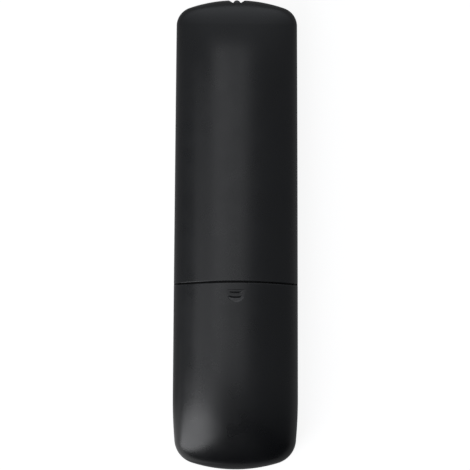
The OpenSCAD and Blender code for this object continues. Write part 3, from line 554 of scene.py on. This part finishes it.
# Carbon makes the pills a dead, slightly sooty black.
carbon = moulded("carbon_filled_silicone", ("0e0e0e", "141414"), (0.6, 0.75), 0.15, 0.008, ior=1.45)
dress("contact_pills", carbon)


# Circuit board: paper laminate, punched, with a green solder mask over its tracks on the component side.
# Tracks show through the mask as slightly raised, lighter bands. It lies on the front shell's ledge.
def laminate():
    """Solder mask over tracks: a brick pattern of 4 mm in two greens, raised between its darker joints."""
    track_mm, track_t = 4.0, 0.04
    material, tree, shader = new_material("solder_masked_laminate")
    place = add_node(tree, "ShaderNodeTexCoord", {}, {}).outputs["Object"]
    tracks = add_node(tree, "ShaderNodeTexBrick", {"offset": 0.37, "offset_frequency": 3},
                      {"Vector": place, "Scale": 1000 / track_mm, "Mortar Size": 0.1, "Mortar Smooth": 0.4,
                       "Color1": linear("1f5a34"), "Color2": linear("25653b"), "Mortar": linear("123c22")})
    bump = add_node(tree, "ShaderNodeBump", {"invert": True},
                    {"Strength": 0.6, "Distance": track_t / 1000, "Height": tracks.outputs["Fac"]})
    set_sockets(tree, shader, {"Base Color": tracks.outputs["Color"], "Roughness": 0.32,
                               "Normal": bump.outputs["Normal"]})
    return material


dress("circuit_board", laminate())


# Components on the board: the controller in its epoxy package, a dipped resonator, a sleeved capacitor can,
# the driver transistor and the small chip parts, all soldered through or onto the board.
epoxy_package = moulded("moulded_epoxy_package", ("1b1b1c", "242425"), (0.5, 0.62), 0.12, 0.005)
for part in ("microcontroller", "driver_transistor", "chip_components"):
    dress(part, epoxy_package)
dress("ceramic_resonator", moulded("dipped_ceramic", ("c07a2a", "cf8b38"), (0.3, 0.42), 0.8, 0.02))
dress("reservoir_capacitor", moulded("PVC_sleeved_can", ("1b2c58", "213468"), (0.28, 0.36), 0.6, 0.004))


# Infra-red diode and setup lamp: cast epoxy, the diode tinted almost black, the lamp tinted red.
# The diode lies over the board's edge with its domed tip in the flared opening of the end face.
led_r, led_rim_r, led_l, led_rim_t, led_rim_edge = 1.5, 1.9, 5.3, 1.0, 0.05


def cast_epoxy(name, tones, clear):
    """Tinted clear epoxy: a polished skin over a streaked colour, with a little light through it."""
    material = moulded(name, tones, (0.06, 0.12), 1.5, 0.002, ior=1.54)
    set_sockets(material.node_tree, material.node_tree.nodes["Principled BSDF"],
                {"Transmission Weight": clear, "Coat Weight": 0.5})
    return material


def turned(profile, count, axis_x, axis_z, start, way):
    """A profile of (radius, distance) pairs turned round an axis along Y: the distance runs from start,
    towards +Y where way is 1 and towards -Y where it is -1."""
    a = np.linspace(0, 2 * math.pi, count)
    radius, distance = (np.array(c)[:, None] for c in zip(*profile))
    x, z = axis_x + radius * np.cos(a), axis_z + radius * np.sin(a)
    return np.stack(np.broadcast_arrays(x, start + way * distance, z), -1)


def block(lo, hi, radius, count=4):
    """A block with rounded edges: the eight octants of a ball, pushed apart to the corners of a box."""
    lo, hi = np.array(lo, float), np.array(hi, float)
    a, corner = quarter_turns(count)
    b = np.radians(np.concatenate([np.linspace(-90, 0, count), np.linspace(0, 90, count)]))[:, None]
    ball = np.stack(np.broadcast_arrays(np.cos(b) * np.cos(a), np.cos(b) * np.sin(a), np.sin(b)), -1)
    octant = np.stack(np.broadcast_arrays(*corner.T, np.repeat([-1, 1], count)[:, None]), -1)
    grid = (lo + hi) / 2 + octant * ((hi - lo) / 2 - radius) + radius * ball
    middle = np.broadcast_to((lo + hi) / 2, (1,) + grid.shape[1:])
    ends = [np.concatenate([middle[..., :2], np.full_like(middle[..., :1], z)], -1) for z in (lo[2], hi[2])]
    return np.concatenate([ends[0], grid, ends[1]])


tip = [(led_r * math.sin(a), led_r * (1 - math.cos(a))) for a in np.linspace(0, math.pi / 2, 14)]
rim_y = led_l - led_rim_t
led_side = tip + [(led_r, rim_y - led_rim_edge), (led_r + 2 * led_rim_edge, rim_y),
                  (led_rim_r, rim_y + led_rim_edge), (led_rim_r, led_l), (0, led_l)]
shape("ir_led_lens", "case", "ir_led", cast_epoxy("dark_tinted_epoxy", ("0b090d", "120f15"), 0.0),
      [turned(led_side, 49, 0, split_z, nose_y, -1)])
dress("status_led", cast_epoxy("red_tinted_epoxy", ("8e1410", "a51c16"), 0.3))


# Rear shell: the crowned back, moulded in black ABS in one piece with the shoulder and the battery tray.
# Two screws in the tray hold it to the front shell, with a fine shadow gap round the split.
crown_power, tail_power, nose_roll, tail_roll, back_slope = 2.4, 2.6, 28.0, 45.0, 0.018
wall, seam_y, seam_r, seam_gap, seam_wear_w = 1.8, -18.6, 240.0, 0.6, 0.25
bow_end, bow_fade, notch_x, notch_half = 40.0, 34.0, 4.2, 22.0
crown_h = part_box("battery_cover")[1].z * 1000 - split_z


def flank_x(y):
    """Half-width of the plan outline on the long flank: a very large circle."""
    return long_flank_c[0] + np.sqrt(long_flank_r ** 2 - (y - long_flank_c[1]) ** 2)


def roof(y, drawn_in):
    """Height of the back over the split on the middle line: the crown's height, times a quarter ellipse
    over the last 28 mm to the infra-red end and a flatter superellipse over the last 45 mm to the tail."""
    n = np.clip((y - nose_y + nose_roll) / (nose_roll - drawn_in), 0, 1)
    t = np.clip((tail_y + tail_roll - y) / (tail_roll - drawn_in), 0, 1)
    fall = np.sqrt(1 - n * n) * (1 - t ** tail_power) ** (1 / tail_power)
    return (crown_h - drawn_in - back_slope * np.maximum(0, y - seam_y)) * fall


def tucked(distance, radius):
    """How far a rounded edge draws in at a distance from its end: the radius, less the root of its square
    less the square of what the distance lacks of it."""
    return radius - np.sqrt(np.maximum(radius ** 2 - np.clip(radius - distance, 0, radius) ** 2, 0))


def back(p, n, t, drawn_in, bow, rim):
    """The back as arches over stations of the plan outline. Across, each arch is a superellipse in the
    angle t; drawn_in moves the surface inwards along the outline's normals. Near the seam the stations bow
    with it: there y gains the sag of the seam's circle. Under the height rim, the edge rounds in."""
    drawn_in, bow = np.broadcast_to(drawn_in, len(p))[:, None], bow[:, None]
    c, s = np.cos(t), np.clip(np.sin(t), 0, 1)
    across = np.sign(c) * np.abs(c) ** (2 / crown_power)
    y0 = p[:, 1:] - drawn_in * n[:, 1:]
    x = (p[:, :1] - drawn_in * n[:, :1]) * across
    y = y0 + bow * (np.sqrt(seam_r ** 2 - x * x) - seam_r)
    x = np.where(bow > 0, (flank_x(y) - drawn_in) * across, x)
    h = roof(y, drawn_in) * s ** (2 / crown_power)
    tuck = tucked(h, rim)
    return np.stack([x - tuck * np.sign(c) * n[:, :1], y - tuck * n[:, 1:], split_z + h], -1)


def seam_stations(edge, way, dense, end_p, end_n):
    """Stations from the seam's edge along the long flank, and on along the arcs of an end: close together
    where the edge rounds, then wider, and at the dense distances where a detail needs them. Each has its
    point, its normal, its share of the seam's bow and how far its edge is drawn in."""
    near = [0, 0.01, 0.03, 0.07, 0.12, 0.18, 0.25, 0.4, 0.7, 1.2]
    away = np.concatenate([near, np.geomspace(2, abs(end_p[0, 1] - edge), 46)])
    away = np.concatenate([away[away < dense[0] - 0.05], dense, away[away > dense[-1] + 0.05]])
    y = edge + way * away
    slope = (y - long_flank_c[1]) / long_flank_r
    p = np.concatenate([np.stack([flank_x(y), y], -1), end_p[1:]])
    n = np.concatenate([np.stack([np.sqrt(1 - slope ** 2), slope], -1), end_n[1:]])
    none = np.zeros(len(end_p) - 1)
    return p, n, np.append(step_up((bow_end - away) / bow_fade), none), np.append(tucked(away, rim_r), none)


def closed_wall(p, n, bow, tuck, t, t_in, sink):
    """A wall between two backs: the outer arch, sunk where it has a detail, then the inner one drawn in by
    the wall's thickness and run back, then the first point again. At the first station each outer point is
    joined to the nearest inner one, which closes the edge."""
    outer = sink(back(p, n, t, tuck, bow, rim_r))
    inner = back(p, n, t_in[::-1], wall, bow, 0)
    lip = inner[:1, np.abs(t[:, None] - t_in[::-1]).argmin(1)]
    ring = np.concatenate([outer, inner, outer[:, :1]], 1)
    return np.concatenate([np.concatenate([lip, inner[:1], lip[:, :1]], 1), ring])


def edge_wear(grid, edge):
    """How much handling has rubbed each point: most on the seam's edge, less along the split, dying away
    from both by a constant share per length."""
    seam = seam_r - np.hypot(grid[..., 0], grid[..., 1] - seam_y + seam_r) + edge
    split = split_wear * np.exp(-(grid[..., 2] - split_z) / split_wear_w)
    return np.maximum(np.exp(-np.abs(seam) / seam_wear_w), split)


# Columns across the back stand closer together at the split, and at the notch round the diode.
fine = np.array([0, 0.2, 0.5, 1, 1.6, 2.4, 3.4, 4.6])
across_t = np.radians(np.concatenate([fine, np.linspace(6, 174, 150), 180 - fine[::-1]]))
across_in = np.radians(np.linspace(0, 180, 61))
notch_t = np.arccos(np.linspace(notch_x, -notch_x, 100) / notch_half)
right_t, left_t = across_t[across_t < notch_t[0] - 0.01], across_t[across_t > notch_t[-1] + 0.01]
rear_stations = seam_stations(seam_y + seam_gap / 2, 1, [5.0], *plan_arcs(*nose_half))
rear = closed_wall(*rear_stations, np.concatenate([right_t, notch_t, left_t]), across_in, scallop)
# Black ABS, spark-eroded like the front but a little coarser: a soft grey sheen under the lamps. The real
# grain of about 0.15 mm is drawn at 0.45 mm so that it shows.
back_abs = moulded("grained_black_ABS", ("0f1012", "131416"), (0.26, 0.32), 0.45, 0.004)
shape("rear_shell_back", "case", "rear_shell", back_abs, [rear],
      ("wear_and_highlight", [edge_wear(rear, seam_gap / 2)]))


# Inside of the rear shell, moulded with it: the shoulder under the cover's edge, the bulkhead, the tray's
# floor and walls, the rails that guide the cover, and the battery bay with the low rib between its cells.
rib_t, floor_z, floor_top_z, cell_z, cell_d, cell_pitch = 1.4, 9.4, 10.4, 15.8, 10.5, 11.5
shoulder_in, bulkhead_y, bay_y, bay_end_y = 2.15, -22.2, -23.6, -73.6
rail_w, rail_t, rail_gap, rail_rise, rail_y = 1.5, 1.2, 0.7, 1.5, tail_y + 18
rail_x, rail_z = float(flank_x(seam_y)) - wall - rail_gap, split_z + rail_rise
tray_x, tray_y, tray_low_z, floor_in = rail_x - rail_w, tail_y + 12, 8.2, 2.4
shoulder_out, bay_room, wall_rise, rail_root, overlap = 3.0, 0.3, 1.0, 0.4, 0.3
bay_x, wall_top = cell_pitch / 2 + cell_d / 2 + bay_room, cell_z + wall_rise
divider_t, divider_short, divider_h, divider_edge_r, inner_edge_r = 0.8, 7.5, 2.4, 0.2, 0.25


def arch_size(drawn_in):
    """Half-width and height of the back's section at the seam, drawn in."""
    return np.array([flank_x(seam_y) - drawn_in, roof(seam_y, drawn_in)])


def arch_slab(drawn_in, inner, y0, y1):
    """An arched band, or a filled arch where inner is None: the section of the back at the seam, a
    superellipse, carried along Y."""
    t = np.radians(np.linspace(0, 180, 91))
    c, s = np.cos(t), np.clip(np.sin(t), 0, 1)
    curve = np.stack([np.sign(c) * np.abs(c) ** (2 / crown_power), s ** (2 / crown_power)], -1)
    outer = curve * arch_size(drawn_in)
    core = (curve * arch_size(inner))[::-1] if inner else np.zeros_like(outer)
    ring = np.concatenate([outer, core, outer[:1]])
    lip = np.concatenate([core[::-1], core, core[-1:]])
    rows = [(lip, y0), (ring, y0), (ring, y1), (lip, y1)]
    return np.stack([np.stack([r[:, 0], np.full(len(r), y), split_z + r[:, 1]], -1) for r, y in rows])


def side_block(side, x, y, z, radius):
    """A rounded block on one side of the middle, from spans of x, y and z; x is counted outwards."""
    lo, hi = zip(sorted(side * v for v in x), y, z)
    return block(lo, hi, radius)


floor_half, floor_n = plan_arcs(*tail_half)
floor_half = floor_half - floor_in * floor_n
floor_x = np.append(np.minimum(floor_half[:, 0], tray_x), tray_x)[:, None]
floor_y = np.append(floor_half[:, 1], bulkhead_y)[:, None]
section = np.array([[1, floor_z], [1, floor_top_z], [-1, floor_top_z], [-1, floor_z], [1, floor_z]])
tray_floor = np.stack(np.broadcast_arrays(floor_x * section[:, 0], floor_y, section[:, 1]), -1)
front_edge = np.concatenate([tray_floor[-1:], np.broadcast_to([0, bulkhead_y, floor_z], (1, 5, 3))])
# Where two of these blocks meet, one is kept a little smaller, so that no two faces share a plane.
less, root_z, end_x = 0.02, floor_z + overlap, bay_x + rib_t - overlap
tray = [arch_slab(shoulder_in, shoulder_in + rib_t, bay_y, seam_y + shoulder_out),
        arch_slab(shoulder_in + less, None, bay_y + less, bulkhead_y), tray_floor, front_edge,
        block((-divider_t / 2, bay_end_y + divider_short, root_z),
              (divider_t / 2, bay_y - divider_short, floor_top_z + divider_h), divider_edge_r),
        block((-end_x, bay_end_y - rib_t + less, root_z + less), (end_x, bay_end_y, wall_top - less),
              inner_edge_r)]
tray_walls = (((tray_x - rib_t, tray_x + less), (tray_y, bulkhead_y), (tray_low_z, rail_z + rail_t)),
              ((tray_x - rail_root, rail_x), (rail_y, bay_y), (rail_z, rail_z + rail_t - less)),
              ((bay_x, bay_x + rib_t), (bay_end_y - rib_t, bay_y + less), (root_z, wall_top)))
tray += [side_block(side, *spans, inner_edge_r) for side in (-1, 1) for spans in tray_walls]
# The inside of the tool is left as it was milled, so these faces are duller than the outside.
inner_abs = moulded("milled_black_ABS", ("0d0d0e", "121213"), (0.6, 0.7), 0.6, 0.006)
shape("rear_shell_tray", "case", "rear_shell", inner_abs, tray, sharp=30)


# Case screws: two pan-head thread-forming screws of headed and rolled steel, plated with black zinc.
# They go through the tray into the bosses of the front shell and hold the case together.
def plated(name, tones, rough, grain, depth):
    """Plated steel: metallic, with the clouded tones, smeared gloss and fine relief of a worked surface."""
    material = moulded(name, tones, rough, grain, depth, ior=1.5)
    set_sockets(material.node_tree, material.node_tree.nodes["Principled BSDF"], {"Metallic": 1.0})
    return material


# Black zinc is a dark and slightly uneven metallic film.
dress("case_screws", plated("black_zinc_on_steel", ("2b2b2d", "38383b"), (0.3, 0.45), 0.3, 0.004))


# Battery contacts: stamped plates and coiled wire of spring steel, nickel-plated, pushed into the bay.
# Its board end has a spring and a plate, and its tail end one plate with a spring that joins both cells.
contact_t, contact_w, wire_r, spring_l, turns = 0.4, 8.6, 0.25, 4.5, 3
coil_r, coil_tip_r, coil_root, tab_w, tab_low_z = 3.2, 2.2, 0.1, 2.0, 8.2
blade_edge_r, tab_edge_r = 0.12, 0.1
pitch, plate_y, plate_low_z = cell_pitch / 2, bay_y - contact_t, cell_z - contact_w / 2


def unit(vectors):
    """Vectors brought to length 1."""
    return vectors / np.linalg.norm(vectors, axis=-1, keepdims=True)


def coil(x, y, way):
    """A conical spring: a helix whose radius narrows along Y, swept by a circle across the wire."""
    f = np.linspace(0, 1, 40 * turns + 1)
    r, a = coil_r + (coil_tip_r - coil_r) * f, 2 * math.pi * turns * f
    line = np.stack([r * np.cos(a), 2 * wire_r + (spring_l - 4 * wire_r) * f, r * np.sin(a)], -1)
    line = np.concatenate([[[coil_r, -coil_root, 0]], line, [[coil_tip_r, spring_l - wire_r, 0]]])
    along = unit(np.gradient(line, axis=0))
    side = unit(np.cross(along, unit(line * [1, 0, 1])))
    up = np.cross(side, along)
    b = np.linspace(0, 2 * math.pi, 13)[:, None]
    ring = line[:, None] + wire_r * (np.cos(b) * up[:, None] + np.sin(b) * side[:, None])
    first, last = (np.broadcast_to(end, (1,) + ring.shape[1:]) for end in (line[0], line[-1]))
    return np.concatenate([first, ring, last]) * [1, way, 1] + [x, y, cell_z]


def blade(x, y, width):
    """The upright plate of a contact: a thin block with rounded edges."""
    high_z = cell_z + contact_w / 2
    return block((x - width / 2, y, plate_low_z), (x + width / 2, y + contact_t, high_z), blade_edge_r)


def tab(x):
    """The narrow tail of a contact that leads down to the board."""
    lo, hi = (x - tab_w / 2, plate_y, tab_low_z), (x + tab_w / 2, plate_y + contact_t, plate_low_z + overlap)
    return block(lo, hi, tab_edge_r)


# Nickel plate on worked steel: bright, a little mottled. Its marks of about 0.1 mm are drawn at 0.3 mm.
nickel = plated("nickel_plated_spring_steel", ("b9b6ae", "c9c6bf"), (0.18, 0.32), 0.3, 0.003)
shape("spring_contact_bent", "case", "spring_contact", nickel,
      [blade(pitch, plate_y, contact_w), coil(pitch, plate_y, -1), tab(pitch)])
shape("plate_contact_bent", "case", "plate_contact", nickel,
      [blade(-pitch, plate_y, contact_w), tab(-pitch)])
shape("bridge_contact_bent", "case", "bridge_contact", nickel,
      [blade(0, bay_end_y, cell_pitch + contact_w), coil(-pitch, bay_end_y + contact_t, 1)])


# Cells: two AAA cells, drawn steel cans with a crimped end and a printed film sleeve shrunk over them.
# They lie side by side, one each way round, between the contacts.
cell_r, cell_l, cell_gap = cell_d / 2, 44.5, 0.1


def printed_film():
    """Glossy shrink film, printed slate grey with a pale band at the button end; bare steel at both ends.
    Which is where follows the along attribute, the distance from the button in mm. Specks about 3 mm apart
    vary its tone and its sheen."""
    speck_mm, speck_depth = 3.0, 0.02
    material, tree, shader = new_material("printed_shrink_film")
    place = add_node(tree, "ShaderNodeTexCoord", {}, {}).outputs["Object"]
    along = add_node(tree, "ShaderNodeAttribute", {"attribute_name": "along"}, {}).outputs["Fac"]
    share = add_node(tree, "ShaderNodeMath", {"operation": "DIVIDE"}, {0: along, 1: cell_l})
    printed = add_node(tree, "ShaderNodeValToRGB", {}, {"Fac": share.outputs[0]})
    steel = add_node(tree, "ShaderNodeValToRGB", {}, {"Fac": share.outputs[0]})
    bands = ((0.0, "a9a7a2"), (0.026, "c9cbcc"), (0.2, "3c444c"), (0.212, "59636d"), (0.985, "a9a7a2"))
    for band, stops in ((printed, bands), (steel, ((0.0, "ffffff"), (0.026, "000000"), (0.985, "ffffff")))):
        band.color_ramp.interpolation = "CONSTANT"
        for at, code in stops[2:]:
            band.color_ramp.elements.new(at)
        for stop, (at, code) in zip(band.color_ramp.elements, stops):
            stop.position, stop.color = at, linear(code)
    speck = add_node(tree, "ShaderNodeTexNoise", {},
                     {"Vector": place, "Scale": 1000 / speck_mm, "Detail": 4.0})
    tone = add_node(tree, "ShaderNodeMixRGB", {"blend_type": "MULTIPLY"},
                    {"Fac": 0.25, "Color1": printed.outputs["Color"], "Color2": speck.outputs["Color"]})
    sheen = add_node(tree, "ShaderNodeMapRange", {},
                     {"Value": speck.outputs["Fac"], "To Min": 0.2, "To Max": 0.36})
    bump = add_node(tree, "ShaderNodeBump", {},
                    {"Strength": 0.4, "Distance": speck_depth / 1000, "Height": speck.outputs["Fac"]})
    set_sockets(tree, shader, {"IOR": 1.5, "Base Color": tone.outputs["Color"],
                               "Metallic": steel.outputs["Color"], "Roughness": sheen.outputs["Result"],
                               "Normal": bump.outputs["Normal"]})
    return material


def bead(r, y, k, first, last):
    """A rounded edge of the can: an arc of radius k round a point, between two angles in degrees."""
    a = np.radians(np.linspace(first, last, 7))
    return list(zip(r + k * np.cos(a), y + k * np.sin(a)))


film = printed_film()
# The can's profile as radius and distance from the button: button, groove, shoulder, side, crimp, end.
cell_side = ([(0, 0), (1.5, 0)] + bead(1.5, 0.4, 0.4, -90, 0) + [(1.9, 0.98), (2.2, 1.02), (4.3, 1.0)]
             + bead(cell_r - 0.55, 1.5, 0.5, -90, 0)
             + [(cell_r, 1.75), (cell_r, 12), (cell_r, 30), (cell_r, cell_l - 1.1)]
             + bead(cell_r - 0.55, cell_l - 0.55, 0.5, 0, 90)
             + [(4.2, cell_l - 0.1), (3.9, cell_l), (0, cell_l)])
for name, x, start, way in (("battery_left", -pitch, plate_y - cell_gap, -1),
                            ("battery_right", pitch, bay_end_y + contact_t + cell_gap, 1)):
    can = turned(cell_side, 65, x, cell_z, start, way)
    along = np.broadcast_to(np.array(cell_side)[:, 1:], can.shape[:2])
    shape(name + "_can", "case", name, film, [can], ("along", [along]), 30)


# Battery cover: a thin crowned shell of the same black ABS, slid on from the tail with its runners under the
# tray's rails. A half-moon is sunk beside the seam for the thumb, with two grip grooves and a lip whose
# falling edge is painted lighter, a painted highlight.
thumb_y, thumb_r, thumb_l, thumb_floor, thumb_end, thumb_slope = seam_y - 3.0, 4.0, 5.2, 0.05, 0.25, 2.0
grip_w, grip_depth, grip_fade, lip_w, lip_fall, lip_highlight = 0.7, 0.36, 1.2, 1.1, 0.06, 2.0
lip_start, lip_edge, thumb_half, cover_half = 0.4, 0.35, 4.4, 24.7
# Each groove has its share of the way down the half-moon, its bend's radius and its reach to both sides.
thumb_grips = ((0.24, 20.0, 2.5), (0.61, 9.0, 2.9))
runner_x, runner_l, runner_gap, runner_edge_r = 23.6, 8.0, 0.3, 0.2


def thumb_form(points):
    """The half-moon: a shallow floor inside a half-ellipse, with two grip grooves along arcs in it, each a
    smooth trough that fades out at its ends. Past the second groove lies the lip, where the floor falls off
    towards the round edge. Gives the depth at each point, and how much of a lip it is."""
    x, y, z = np.moveaxis(points, -1, 0)
    v, outside = thumb_y - y, z > split_z + crown_h / 2
    rim = thumb_r * (1 - np.hypot(x / thumb_r, v / thumb_l))
    depth = thumb_floor * step_up(np.minimum(v / thumb_end, rim / thumb_slope))
    for share, bend, reach in thumb_grips:
        past = v - share * thumb_l + bend - np.sqrt(bend ** 2 - np.clip(x, -thumb_r, thumb_r) ** 2)
        trough = np.clip(1 - (2 * past / grip_w) ** 2, 0, 1) ** 2
        depth += grip_depth * trough * step_up((reach - np.abs(x)) / grip_fade)
    lip = step_up(past / lip_start) * step_up(rim / lip_edge) * outside
    return (depth + lip_fall * np.clip(1 - rim / lip_w, 0, 1) * lip) * outside, lip


def thumb_recess(points):
    """Sinks points by the half-moon's depth."""
    return points - thumb_form(points)[0][..., None] * [0, 0, 1]


# Stations and columns stand close together at the half-moon.
tail_p, tail_n = plan_arcs(*tail_half)
thumb_rows = np.linspace(2.4, 8.2, 98)
cover_stations = seam_stations(seam_y - seam_gap / 2, -1, thumb_rows, tail_p[::-1], tail_n[::-1])
flank_t = np.radians(np.concatenate([fine, np.linspace(6, 78, 40)]))
thumb_t = np.arccos(np.linspace(thumb_half, -thumb_half, 90) / cover_half)
cover_t = np.concatenate([flank_t, thumb_t, math.pi - flank_t[::-1]])
cover = closed_wall(*cover_stations, cover_t, across_in, thumb_recess)
# The lip is painted lighter, a painted highlight where its edge falls towards the tail; seam and split add
# wear.
cover_wear_and_highlight = edge_wear(cover, -seam_gap / 2) + lip_highlight * thumb_form(cover)[1]
runner_ys = rail_y + np.array([0.15, 0.5, 0.85]) * (bay_y - rail_y - runner_l)
runners = [side_block(side, (tray_x + runner_gap, runner_x), (y, y + runner_l),
                      (split_z + runner_gap, rail_z - runner_gap), runner_edge_r)
           for side in (-1, 1) for y in runner_ys]
shape("battery_cover_back", "battery_cover", "battery_cover", back_abs, [cover, *runners],
      ("wear_and_highlight", [cover_wear_and_highlight, *[np.zeros(r.shape[:2]) for r in runners]]))


# Table: a plain pale sweep under the object, white to the camera and keeping the object's shadow.
# In reflections it is dim, as in a dark studio, but for a painted pool of light beside the tail's left, a
# glow that only reflections see.
def pale_table():
    """Matt grey with a glow: full to the camera, and in reflections faint, but brighter where a painted pool
    of light lies.
    The pool rises smoothly past an edge in X and one in Y, over a soft width, all in metres."""
    pool_edges = (("X", -0.022, 0.012), ("Y", -0.064, 0.026))
    pool_glow, faint_glow, white_glow = 0.5, 0.08, 0.88
    material, tree, shader = new_material("pale_matt_table")
    set_sockets(tree, shader, {"Base Color": linear("909090"), "Roughness": 0.9, "Specular IOR Level": 0.0})
    path = add_node(tree, "ShaderNodeLightPath", {}, {})
    mirrored = add_node(tree, "ShaderNodeMath", {"operation": "MAXIMUM"},
                        {0: path.outputs["Is Glossy Ray"], 1: path.outputs["Is Transmission Ray"]})
    place = add_node(tree, "ShaderNodeTexCoord", {}, {}).outputs["Object"]
    place = add_node(tree, "ShaderNodeSeparateXYZ", {}, {"Vector": place})
    # A painted pool of light: a glow seen only in reflections, no lamp's light.
    pool = [add_node(tree, "ShaderNodeMapRange", {"interpolation_type": "SMOOTHSTEP"},
                     {"Value": place.outputs[axis], "From Min": edge, "From Max": edge - soft})
            for axis, edge, soft in pool_edges]
    pool = add_node(tree, "ShaderNodeMath", {"operation": "MULTIPLY"},
                    {0: pool[0].outputs["Result"], 1: pool[1].outputs["Result"]})
    pool = add_node(tree, "ShaderNodeMath", {"operation": "MULTIPLY_ADD"},
                    {0: pool.outputs[0], 1: pool_glow, 2: faint_glow})
    mirrored = add_node(tree, "ShaderNodeMath", {"operation": "MULTIPLY"},
                        {0: mirrored.outputs[0], 1: pool.outputs[0]})
    lift = add_node(tree, "ShaderNodeMath", {"operation": "MULTIPLY_ADD"},
                    {0: path.outputs["Is Camera Ray"], 1: white_glow, 2: mirrored.outputs[0]})
    glow = add_node(tree, "ShaderNodeEmission", {}, {"Color": (1, 1, 1, 1), "Strength": lift.outputs[0]})
    both = add_node(tree, "ShaderNodeAddShader", {}, {0: shader.outputs[0], 1: glow.outputs[0]})
    set_sockets(tree, tree.nodes["Material Output"], {"Surface": both.outputs[0]})
    return material


table_mesh = bpy.data.meshes.new("table")
table_mesh.from_pydata([(-4, -4, 0), (4, -4, 0), (4, 4, 0), (-4, 4, 0)], [], [(0, 1, 2, 3)])
table_mesh.materials.append(pale_table())
table = put_in_scene("table", table_mesh)


# Studio: a long overhead softbox left of the middle, a dimmer one beside it towards the tail, and a strong
# one low at the tail's left. The room is bright beyond the infra-red end and dark towards the tail.
def softbox(name, form, across, along, away, radiance):
    """A flat lamp that faces the object and fills two spans of angles, in degrees from straight above:
    across it and along it. Its power is the radiance times pi times its area."""
    middle = np.radians([np.mean(across), np.mean(along)])
    wide, high = (2 * away * math.tan(math.radians(span[1] - span[0]) / 2) for span in (across, along))
    area = wide * high * (math.pi / 4 if form == "ELLIPSE" else 1)
    lamp = bpy.data.lights.new(name, "AREA")
    lamp.color = linear("f9fafd")[:3]
    lamp.shape, lamp.size, lamp.size_y, lamp.energy = form, wide, high, radiance * math.pi * area
    z = unit(np.array([*np.tan(middle), 1.0]))
    x = unit(np.cross([0, 1, 0], z))
    y = np.cross(z, x)
    box = put_in_scene(name, lamp)
    box.matrix_world = Matrix([[x[i], y[i], z[i], away * z[i]] for i in range(3)] + [[0, 0, 0, 1]])


softbox("overhead_box", "RECTANGLE", (-16, 4.5), (-8, 27), 1.4, 0.88)
softbox("overhead_side", "RECTANGLE", (-46, -12), (-22, 3), 1.5, 0.64)
softbox("tail_left_box", "ELLIPSE", (-88, -18), (-61, -27), 1.5, 3.15)

# The room is a cool white, brighter the further a direction leans towards +Y; to the camera it is white.
world = bpy.data.worlds.new("studio_room")
bpy.context.scene.world = world
world.use_nodes = True
room = world.node_tree
way = add_node(room, "ShaderNodeTexCoord", {}, {}).outputs["Generated"]
along = add_node(room, "ShaderNodeSeparateXYZ", {}, {"Vector": way}).outputs["Y"]
share = add_node(room, "ShaderNodeMapRange", {}, {"Value": along, "From Min": -0.4, "From Max": 1.0})
glow = add_node(room, "ShaderNodeValToRGB", {}, {"Fac": share.outputs["Result"]})
levels = ((0.0, 0.02), (0.21, 0.2), (0.3, 0.24), (0.5, 0.275), (0.71, 0.37), (0.89, 0.6), (1.0, 0.95))
for at, level in levels[2:]:
    glow.color_ramp.elements.new(at)
for stop, (at, level) in zip(glow.color_ramp.elements, levels):
    stop.position, stop.color = at, (level, level, level, 1)
path = add_node(room, "ShaderNodeLightPath", {}, {})
tint = add_node(room, "ShaderNodeMixRGB", {},
                {"Fac": path.outputs["Is Camera Ray"], "Color1": linear("f5f9ff"),
                 "Color2": linear("ffffff")})
shown = add_node(room, "ShaderNodeMath", {"operation": "MAXIMUM"},
                 {0: glow.outputs["Color"], 1: path.outputs["Is Camera Ray"]})
set_sockets(room, room.nodes["Background"], {"Color": tint.outputs["Color"], "Strength": shown.outputs[0]})


# Camera: straight above the back, as in the photograph, far off with a long lens.
# It is turned a quarter of a degree, as the remote lies there.
camera_data = bpy.data.cameras.new("overhead_camera")
camera_data.lens, camera_data.sensor_width = 210.0, 36.0
camera = put_in_scene("overhead_camera", camera_data)
camera.location = (-0.0004, -0.0001, 1.1093)
camera.rotation_euler = (0.0, 0.0, math.radians(0.23))
bpy.context.scene.camera = camera
bpy.context.scene.view_settings.view_transform = "Standard"
